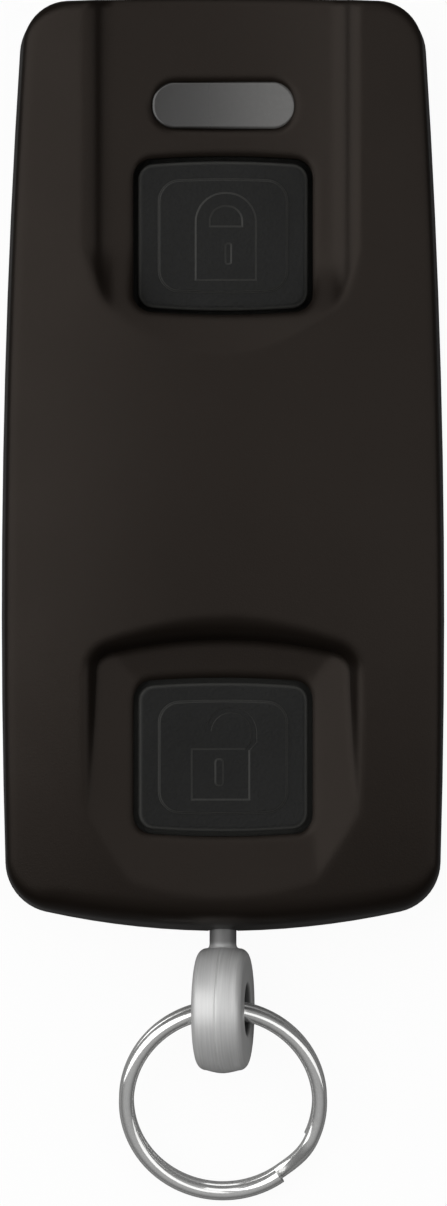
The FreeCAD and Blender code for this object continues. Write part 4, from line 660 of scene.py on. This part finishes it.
eyelet_bm = bmesh.new()
half = disc_profile()
mirrored = [(-along, radius) for along, radius in reversed(half)][:-1]
turn_profile(eyelet_bm, half + mirrored, Vector((1, 0, 0)), DISC_TURNS)
bmesh.ops.rotate(eyelet_bm, cent=(0, 0, 0), matrix=Matrix.Rotation(-EYELET_LEAN, 3, "Y"),
                 verts=eyelet_bm.verts)
stem_bm = bmesh.new()
turn_profile(stem_bm, stem_profile(), Vector((0, 1, 0)), STEM_TURNS)
absorb(eyelet_bm, stem_bm)
eyelet_low, eyelet_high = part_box("swivel_eyelet")
disc_middle = Vector((0, eyelet_low.y + DISC_RADIUS, PARTING_HEIGHT))
bmesh.ops.translate(eyelet_bm, vec=disc_middle, verts=eyelet_bm.verts)
add_piece("eyelet_casting", eyelet_bm, eyelet_metal, "eyelet", "swivel_eyelet",
          CAST_SHARP)
print("eyelet box", eyelet_low, eyelet_high)

# %% [markdown]
# ## Shapes that are built up in steps
# A rubber key is a stack of slightly smaller outlines, each a little higher: a soft rim, a flat,
# and a raised panel with a soft foot and edge. An outline is one face, and insetting it again and
# again with a small rise makes the whole top. The outline is a rectangle whose corners are
# bevelled and whose short sides bow out a little.

# %% Outline helpers
def plain_face(bm, width, length):
    """A flat rectangle of one face, centred on the origin, as its vertices."""
    made = bmesh.ops.create_grid(bm, x_segments=1, y_segments=1, size=0.5)
    bmesh.ops.scale(bm, vec=(width, length, 1), verts=made["verts"])
    return made["verts"]


def round_corners(bm, verts, radius, segments):
    """Rounds the corners of a flat face at some of its vertices, and returns the face."""
    bmesh.ops.bevel(bm, geom=verts, affect="VERTICES", offset=radius, segments=segments,
                    profile=0.5, material=-1)
    bm.faces.ensure_lookup_table()
    return bm.faces[0]


def build_up(bm, face, first_rise, steps):
    """Raises a face by first_rise, then insets it step by step: (inset, rise) in metres."""
    if face.normal.z < 0:
        face.normal_flip()
    made = bmesh.ops.extrude_face_region(bm, geom=[face])
    top = next(item for item in made["geom"] if isinstance(item, bmesh.types.BMFace))
    bmesh.ops.translate(bm, vec=(0, 0, first_rise), verts=top.verts)
    for inset, rise in steps:
        top.normal_update()
        bmesh.ops.inset_region(bm, faces=[top], thickness=inset, use_even_offset=True,
                               use_boundary=True)
        bmesh.ops.translate(bm, vec=(0, 0, rise), verts=top.verts)
    bmesh.ops.holes_fill(bm, edges=[edge for edge in bm.edges if edge.is_boundary])
    bmesh.ops.poke(bm, faces=[side for side in bm.faces if len(side.verts) > 4])
    bmesh.ops.recalc_face_normals(bm, faces=bm.faces)


def quarter(radius, steps):
    """The insets and rises of a quarter round, from a wall to a flat."""
    pairs = []
    for step in range(steps):
        start, end = (math.pi / 2 * (step + part) / steps for part in (0, 1))
        across = radius * (math.cos(start) - math.cos(end))
        up = radius * (math.sin(end) - math.sin(start))
        pairs.append((across, up))
    return pairs


# %% [markdown]
# ## The two rubber keys
# Both keys are the same moulding, 12.7 by 11.2 mm. A long edge is cut into short lengths and
# bent to the bow of the opening, so the gap to the case stays even all round. The last step of a
# stack is a hair narrower and level, so that what is carved later meets a true flat.

# %% Keys
KEY_WIDTH, KEY_LENGTH = 12.7 * MM, 11.2 * MM
KEY_CORNER, CORNER_SEGMENTS = 1.1 * MM, 8
KEY_BOW, BOW_CUTS = 70 * MM, 15
KEY_UNDERSIDE = 8.9 * MM
KEY_ROUND, ROUND_STEPS = 0.4 * MM, 6
PANEL_WIDTH, PANEL_LENGTH = 9.75 * MM, 8.6 * MM
PANEL_CORNER = 1.55 * MM
PANEL_RISE, PANEL_STEPS = 0.24 * MM, 4
STUB_FOOT, STUB_HEAD, STUB_SIDES = 1.45 * MM, 1.6 * MM, 40
FLAT_GUARD = 0.03 * MM
SUNK = 0.15 * MM


def bow_out(verts):
    """Bends the short sides of an outline to the bow of the key's opening."""
    for vert in verts:
        drop = KEY_BOW - math.sqrt(KEY_BOW ** 2 - vert.co.x ** 2)
        vert.co.y -= math.copysign(drop, vert.co.y)


def bowed_face(bm, width, length, corner):
    """A rounded rectangle whose short sides bow outwards."""
    round_corners(bm, plain_face(bm, width, length), corner, CORNER_SEGMENTS)
    level = [edge for edge in bm.edges if edge.calc_length() > width / 2
             and abs(edge.verts[0].co.y - edge.verts[1].co.y) < 1e-6]
    for edge in level:
        bmesh.ops.subdivide_edges(bm, edges=[edge], cuts=BOW_CUTS)
    bow_out(bm.verts)
    bm.faces.ensure_lookup_table()
    return bm.faces[0]


def key_panel(station, level):
    """The raised panel of a key, soft at its foot and at its edge, from under the rim's level."""
    panel = bmesh.new()
    face = bowed_face(panel, PANEL_WIDTH, PANEL_LENGTH, PANEL_CORNER)
    edge = quarter(PANEL_RISE / 2, PANEL_STEPS)
    foot = [(rise, inset) for inset, rise in reversed(edge)]
    build_up(panel, face, SUNK, foot + edge + [(FLAT_GUARD, 0)])
    bmesh.ops.translate(panel, vec=(0, station, level - SUNK), verts=panel.verts)
    return panel


def key_stub(station, low):
    """The stub under a key that presses the switch."""
    stub = bmesh.new()
    top = KEY_UNDERSIDE + SUNK
    bmesh.ops.create_cone(stub, cap_ends=True, segments=STUB_SIDES, radius1=STUB_FOOT,
                          radius2=STUB_HEAD, depth=top - low)
    bmesh.ops.translate(stub, vec=(0, station, (top + low) / 2), verts=stub.verts)
    return stub


def build_key(name, body, node):
    """A key: its soft-edged block with the panel and the stub joined on."""
    low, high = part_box(node)
    station = (low.y + high.y) / 2
    rim = high.z - PANEL_RISE
    block = bmesh.new()
    face = bowed_face(block, KEY_WIDTH, KEY_LENGTH, KEY_CORNER)
    build_up(block, face, rim - KEY_ROUND - KEY_UNDERSIDE,
             quarter(KEY_ROUND, ROUND_STEPS) + [(FLAT_GUARD, 0)])
    bmesh.ops.translate(block, vec=(0, station, KEY_UNDERSIDE), verts=block.verts)
    piece = add_piece(name, block, key_rubber, body, node)
    carve(piece, key_panel(station, rim), "UNION")
    carve(piece, key_stub(station, low.z), "UNION")
    return piece, high.z


lock_key, lock_top = build_key("lock_key_cap", "lock_key", "lock_button")
unlock_key, unlock_top = build_key("unlock_key_cap", "unlock_key", "unlock_button")
print("key tops", lock_top, unlock_top)

# %% [markdown]
# ## The webs that let the keys sink
# Under each key a thin sloping wall of rubber spans from the key to the mat round it, and it folds
# when the key is pressed. Four outlines of the key, two low and two high, are joined ring by ring.
# The web rides with its key.

# %% Webs
WEB_REACH, WEB_TUCK, WEB_WALL = 0.75 * MM, 0.1 * MM, 0.4 * MM


def widened_outline(bm, reach, station, height):
    """The outline of a key, widened all round by reach, as a ring of vertices."""
    outline = bmesh.new()
    face = bowed_face(outline, KEY_WIDTH + 2 * reach, KEY_LENGTH + 2 * reach, KEY_CORNER + reach)
    shift = Vector((0, station, height))
    verts = [bm.verts.new(vert.co + shift) for vert in face.verts]
    outline.free()
    return verts


def build_web(name, body, node):
    """A hollow wall round a key's foot, that rides with the key."""
    low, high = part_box(node)
    station = (low.y + high.y) / 2
    bm = bmesh.new()
    rings = [widened_outline(bm, reach, station, height) for reach, height in (
        (WEB_REACH, low.z), (-WEB_TUCK, high.z), (-WEB_TUCK - WEB_WALL, high.z),
        (WEB_REACH - WEB_WALL, low.z))]
    for ring, following in zip(rings, rings[1:] + rings[:1]):
        for spot in range(len(ring)):
            before = spot - 1
            bm.faces.new((ring[before], ring[spot], following[spot], following[before]))
    bmesh.ops.recalc_face_normals(bm, faces=bm.faces)
    piece = add_piece(name, bm, key_rubber, body, node)
    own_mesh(piece)


build_web("lock_key_web", "lock_key", "lock_button_web")
build_web("unlock_key_web", "unlock_key", "unlock_button_web")

# %% [markdown]
# ## The padlock signs
# The upper key carries a closed padlock that stands out from the panel, and the lower one an open
# padlock that is sunk into it. Their walls slope, so that light from the left and the top draws a
# thin bright line along the edges that face it, and the rubber's painted highlight lightens every
# sloping wall as well. Each part of a sign is a rectangle of the photograph, and it becomes a low
# block to join on or a cutter to take away.

# %% Padlock helpers
SIGN_RELIEF, SIGN_DEPTH, SIGN_SLOPE = 0.1 * MM, 0.09 * MM, 0.14 * MM
ARCH_SEGMENTS, HOLE_SEGMENTS = 14, 4


def sign_face(bm, place, corner=0.0, segments=HOLE_SEGMENTS, arch=False):
    """A flat face over (left, top, right, bottom) pixels; an arch is round at the top only."""
    left, top, right, bottom = place
    x0, y1 = at_pixel(left, top)
    x1, y0 = at_pixel(right, bottom)
    middle = Vector(((x0 + x1) / 2, (y0 + y1) / 2, 0))
    verts = plain_face(bm, x1 - x0, y1 - y0)
    bmesh.ops.translate(bm, vec=middle, verts=verts)
    if corner:
        chosen = [vert for vert in verts if vert.co.y > middle.y or not arch]
        round_corners(bm, chosen, corner, segments)
    bm.faces.ensure_lookup_table()
    return bm.faces[0]


def raised(height, relief, place, **shape):
    """A low block with sloping walls that stands on a height."""
    bm = bmesh.new()
    build_up(bm, sign_face(bm, place, **shape), SUNK, [(SIGN_SLOPE, relief)])
    bmesh.ops.translate(bm, vec=(0, 0, height - SUNK), verts=bm.verts)
    return bm


def sunken(height, place, **shape):
    """A cutter for a shallow recess whose walls slope in, from above a height."""
    bm = bmesh.new()
    build_up(bm, sign_face(bm, place, **shape), SUNK, [(SIGN_SLOPE, SIGN_DEPTH)])
    bmesh.ops.scale(bm, vec=(1, 1, -1), verts=bm.verts)
    bmesh.ops.translate(bm, vec=(0, 0, height + SUNK), verts=bm.verts)
    bmesh.ops.recalc_face_normals(bm, faces=bm.faces)
    return bm


# %% [markdown]
# The closed padlock is one raised shape with an arched top. The opening under its shackle and the
# keyhole are cut back down into it.

# %% Closed padlock
sign_top = lock_top + SIGN_RELIEF
carve(lock_key, raised(lock_top, SIGN_RELIEF, (195, 196, 256.5, 284), corner=2.25 * MM,
                       segments=ARCH_SEGMENTS, arch=True), "UNION")
carve(lock_key, sunken(sign_top, (209, 209, 243, 231), corner=1.2 * MM, segments=10, arch=True),
      "DIFFERENCE")
carve(lock_key, sunken(sign_top, (224.5, 246, 232, 268), corner=0.2 * MM), "DIFFERENCE")
print("closed padlock done", len(lock_key.data.polygons))

# %% [markdown]
# The open padlock's body is a recess with the keyhole standing in it. Its shackle is a hook: a
# section with sloping walls is spun round most of a half circle, and its end is drawn on in two
# straight lengths that run into the body.

# %% Open padlock
KEYHOLE_RELIEF = 0.08 * MM
SHACKLE_MIDDLE, SHACKLE_RADII = (231, 732), (18.5, 27)
SHACKLE_START, SHACKLE_TURN, SHACKLE_STEPS = math.radians(-5), -math.radians(175), 24
SHACKLE_LEG = ((0, -9), (-7, -8))
SHACKLE_DEPTH = 0.1 * MM


def shackle():
    """A cutter for the hook of the open padlock: half a round and one leg into the body."""
    bm = bmesh.new()
    inner, outer = (radius / PIXELS_PER_MM * MM for radius in SHACKLE_RADII)
    verts = plain_face(bm, 1, 1)
    bmesh.ops.transform(bm, matrix=Matrix.Rotation(math.pi / 2, 4, "X"), verts=verts)
    bmesh.ops.scale(bm, vec=(outer - inner, 1, SUNK + SHACKLE_DEPTH), verts=verts)
    bmesh.ops.translate(bm, vec=(-(inner + outer) / 2, 0, (SUNK - SHACKLE_DEPTH) / 2),
                        verts=verts)
    for vert in verts:
        if vert.co.z < 0:
            vert.co.x += math.copysign(SIGN_SLOPE, -(inner + outer) / 2 - vert.co.x)
    section = list(bm.faces)
    bmesh.ops.rotate(bm, cent=(0, 0, 0), matrix=Matrix.Rotation(SHACKLE_START, 3, "Z"),
                     verts=bm.verts)
    spun = bmesh.ops.spin(bm, geom=section, cent=(0, 0, 0), axis=UP, angle=SHACKLE_TURN,
                          steps=SHACKLE_STEPS)
    end = [item for item in spun["geom_last"] if isinstance(item, bmesh.types.BMFace)]
    for aside, along in SHACKLE_LEG:
        made = bmesh.ops.extrude_face_region(bm, geom=end)
        bmesh.ops.delete(bm, geom=end, context="FACES_ONLY")
        end = [item for item in made["geom"] if isinstance(item, bmesh.types.BMFace)]
        shift = (aside / PIXELS_PER_MM * MM, along / PIXELS_PER_MM * MM, 0)
        bmesh.ops.translate(bm, vec=shift, verts=list({v for face in end for v in face.verts}))
    bmesh.ops.holes_fill(bm, edges=[edge for edge in bm.edges if edge.is_boundary])
    bmesh.ops.recalc_face_normals(bm, faces=bm.faces)
    bmesh.ops.translate(bm, vec=(*at_pixel(*SHACKLE_MIDDLE), unlock_top), verts=bm.verts)
    return bm


carve(unlock_key, sunken(unlock_top, (191, 747, 250, 799)), "DIFFERENCE")
carve(unlock_key, raised(unlock_top - SIGN_DEPTH, KEYHOLE_RELIEF, (214.5, 757, 224, 785),
                         corner=0.3 * MM), "UNION")
carve(unlock_key, shackle(), "DIFFERENCE")
print("open padlock done", len(unlock_key.data.polygons))

# %% [markdown]
# ## The status window
# A pill of smoked, polished plastic that lets the light of the LED through. It stands a little
# proud with a thin round rim. It is left bare. Two half circles joined by straight sides make its
# outline, and the same steps as for the keys make its edge. Its colour runs from dark at the left
# end to lighter at the right.

# %% Status window
WINDOW_PROUD_ROUND, RIM_STEPS = 0.22 * MM, 5
# Where and between which tones the window's colour runs from dark at the left end to lighter at the
# right.
TONE_FADE_START, TONE_FADE_END = 2.0 * MM, 1.0 * MM
LEFT_END_TONE, RIGHT_END_TONE = (0.010, 0.009, 0.008), (0.110, 0.108, 0.104)
LENS_FOOT = 2.0 * MM
PILL_TRIM, PILL_SPARE, PILL_SEGMENTS = 0.05 * MM, 0.12 * MM, 16
low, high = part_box("status_window")
pill_left, pill_top = at_pixel(152, 86.5)
pill_right, pill_bottom = at_pixel(294.5, 134)
pill_width, pill_length = pill_right - pill_left, pill_top - pill_bottom
print("pill", pill_width, pill_length, low, high)


def make_window_plastic():
    """Smoked plastic, darker at its left end, with a clear coat and faint flow marks."""
    material, tree, shader = start_material("window_plastic", (0.1, 0.1, 0.1), 0.22,
                                            Coat_Weight=0.6, Coat_Roughness=0.05)
    place = add_node(tree, "ShaderNodeTexCoord")
    parts = add_node(tree, "ShaderNodeSeparateXYZ")
    join(tree, place, "Object", parts, "Vector")
    # the colour runs from dark at the left end to lighter at the right
    along = add_node(tree, "ShaderNodeMapRange", interpolation_type="SMOOTHSTEP",
                     From_Min=pill_left + TONE_FADE_START, From_Max=pill_right + TONE_FADE_END)
    join(tree, parts, "X", along, "Value")
    left_to_right_tone = between(tree, LEFT_END_TONE, RIGHT_END_TONE, along.outputs["Result"])
    grain = add_node(tree, "ShaderNodeGroup", node_tree=moulded_grain, Grain_Scale=2500.0)
    cloud = add_node(tree, "ShaderNodeMapRange", To_Min=0.9)
    join(tree, grain, "Height", cloud, "Value")
    cloudy = multiplied(tree, left_to_right_tone, cloud.outputs["Result"])
    tree.links.new(cloudy, shader.inputs["Base Color"])
    add_gloss(tree, grain, "Polish", 0.2, 0.28, shader)
    add_bump(tree, grain, "Height", 0.002, shader)
    return material


window_plastic = make_window_plastic()
window_bm = bmesh.new()
corners = plain_face(window_bm, pill_width - PILL_TRIM, pill_length - PILL_TRIM)
face = round_corners(window_bm, corners, pill_length / 2 - PILL_SPARE, PILL_SEGMENTS)
build_up(window_bm, face, high.z - WINDOW_PROUD_ROUND - low.z - LENS_FOOT,
         quarter(WINDOW_PROUD_ROUND, RIM_STEPS) + [(FLAT_GUARD, 0)])
bmesh.ops.translate(window_bm, vec=((pill_left + pill_right) / 2, (pill_top + pill_bottom) / 2,
                                    low.z + LENS_FOOT), verts=window_bm.verts)
add_piece("status_lens", window_bm, window_plastic, "housing", "status_window")

# %% [markdown]
# ## The floor
# The photograph is a cut-out on white. A plain white floor takes the remote's own soft shadow,
# and is lifted towards pure white for the camera only by a part of glow. To every other ray it is
# dark grey, so that it doesn't light the case's sides. It lies a hair under the back and is clear
# from below, so the back can be looked at too.

# %% Floor
FLOOR_SIZE = 3.0
FLOOR_GAP = 0.02 * MM
PAPER_SEEN, PAPER_UNSEEN, GLOW_SHARE = 0.9, 0.16, 0.95
floor_bm = bmesh.new()
bmesh.ops.create_grid(floor_bm, x_segments=1, y_segments=1, size=FLOOR_SIZE / 2)
floor_mesh = bpy.data.meshes.new("floor")
floor_bm.to_mesh(floor_mesh)
floor_bm.free()
floor = bpy.data.objects.new("floor", floor_mesh)
floor.location.z = cad_bounds[0][2] - FLOOR_GAP
bpy.context.scene.collection.objects.link(floor)

paper = bpy.data.materials.new("paper")
paper.use_nodes = True
tree = paper.node_tree
tree.nodes.clear()
ray = add_node(tree, "ShaderNodeLightPath")
seen = add_node(tree, "ShaderNodeMath", operation="MAXIMUM")
join(tree, ray, "Is Camera Ray", seen, 0)
join(tree, ray, "Is Transmission Ray", seen, 1)
share = add_node(tree, "ShaderNodeMath", operation="MULTIPLY")
join(tree, seen, "Value", share, 0)
share.inputs[1].default_value = GLOW_SHARE
matt = add_node(tree, "ShaderNodeBsdfDiffuse")
white = between(tree, (PAPER_UNSEEN,) * 3, (PAPER_SEEN,) * 3, seen.outputs["Value"])
tree.links.new(white, matt.inputs["Color"])
glow = add_node(tree, "ShaderNodeEmission", Color=(1, 1, 1, 1), Strength=1.0)
lifted = add_node(tree, "ShaderNodeMixShader")
join(tree, share, "Value", lifted, "Fac")
join(tree, matt, "BSDF", lifted, 1)
join(tree, glow, "Emission", lifted, 2)
sides = add_node(tree, "ShaderNodeNewGeometry")
clear = add_node(tree, "ShaderNodeBsdfTransparent")
either = add_node(tree, "ShaderNodeMixShader")
join(tree, sides, "Backfacing", either, "Fac")
join(tree, lifted, "Shader", either, 1)
join(tree, clear, "BSDF", either, 2)
output = add_node(tree, "ShaderNodeOutputMaterial")
join(tree, either, "Shader", output, "Surface")
floor_mesh.materials.append(paper)
print("floor at", floor.location.z)

# %% [markdown]
# ## The light
# A large soft lamp at the left, a weaker one at the right and one beyond the window end give the
# case its broad sheen and the dark valley between. Each lamp's strength is written as a
# brightness, so a change of its size doesn't change how bright it looks. The sky is grey overhead
# and nearly black at the horizon, so the walls of the scoops and the case's lip stay dark.

# %% Light
def soft_lamp(name, aside, beyond, distance, width, length, brightness):
    """A soft lamp that looks at the case, from angles away from straight up, in degrees."""
    toward = Vector((math.tan(math.radians(aside)), math.tan(math.radians(beyond)), 1)).normalized()
    data = bpy.data.lights.new(name, "AREA")
    data.shape = "RECTANGLE"
    data.size, data.size_y = width, length
    data.energy = brightness * math.pi * width * length
    lamp = bpy.data.objects.new(name, data)
    lamp.location = toward * distance
    lamp.rotation_euler = toward.to_track_quat("Z", "Y").to_euler()
    bpy.context.scene.collection.objects.link(lamp)


soft_lamp("lamp_left", -44, 8, 0.80, 0.74, 1.15, 1.75)
soft_lamp("lamp_right", 36, -5, 0.85, 0.50, 1.3, 0.92)
soft_lamp("lamp_window_end", 1, 42, 0.85, 0.40, 0.80, 1.0)
world = bpy.context.scene.world or bpy.data.worlds.new("world")
bpy.context.scene.world = world
world.use_nodes = True
sky = world.node_tree
background = sky.nodes["Background"]
background.inputs["Color"].default_value = (1, 1, 1, 1)
direction = add_node(sky, "ShaderNodeTexCoord")
parts = add_node(sky, "ShaderNodeSeparateXYZ")
join(sky, direction, "Generated", parts, "Vector")
ceiling = add_node(sky, "ShaderNodeMapRange", interpolation_type="SMOOTHSTEP", From_Min=0.25,
                   From_Max=0.85, To_Min=0.03, To_Max=0.25)
join(sky, parts, "Z", ceiling, "Value")
join(sky, ceiling, "Result", background, "Strength")
bpy.context.scene.view_settings.view_transform = "Standard"
print("lit")
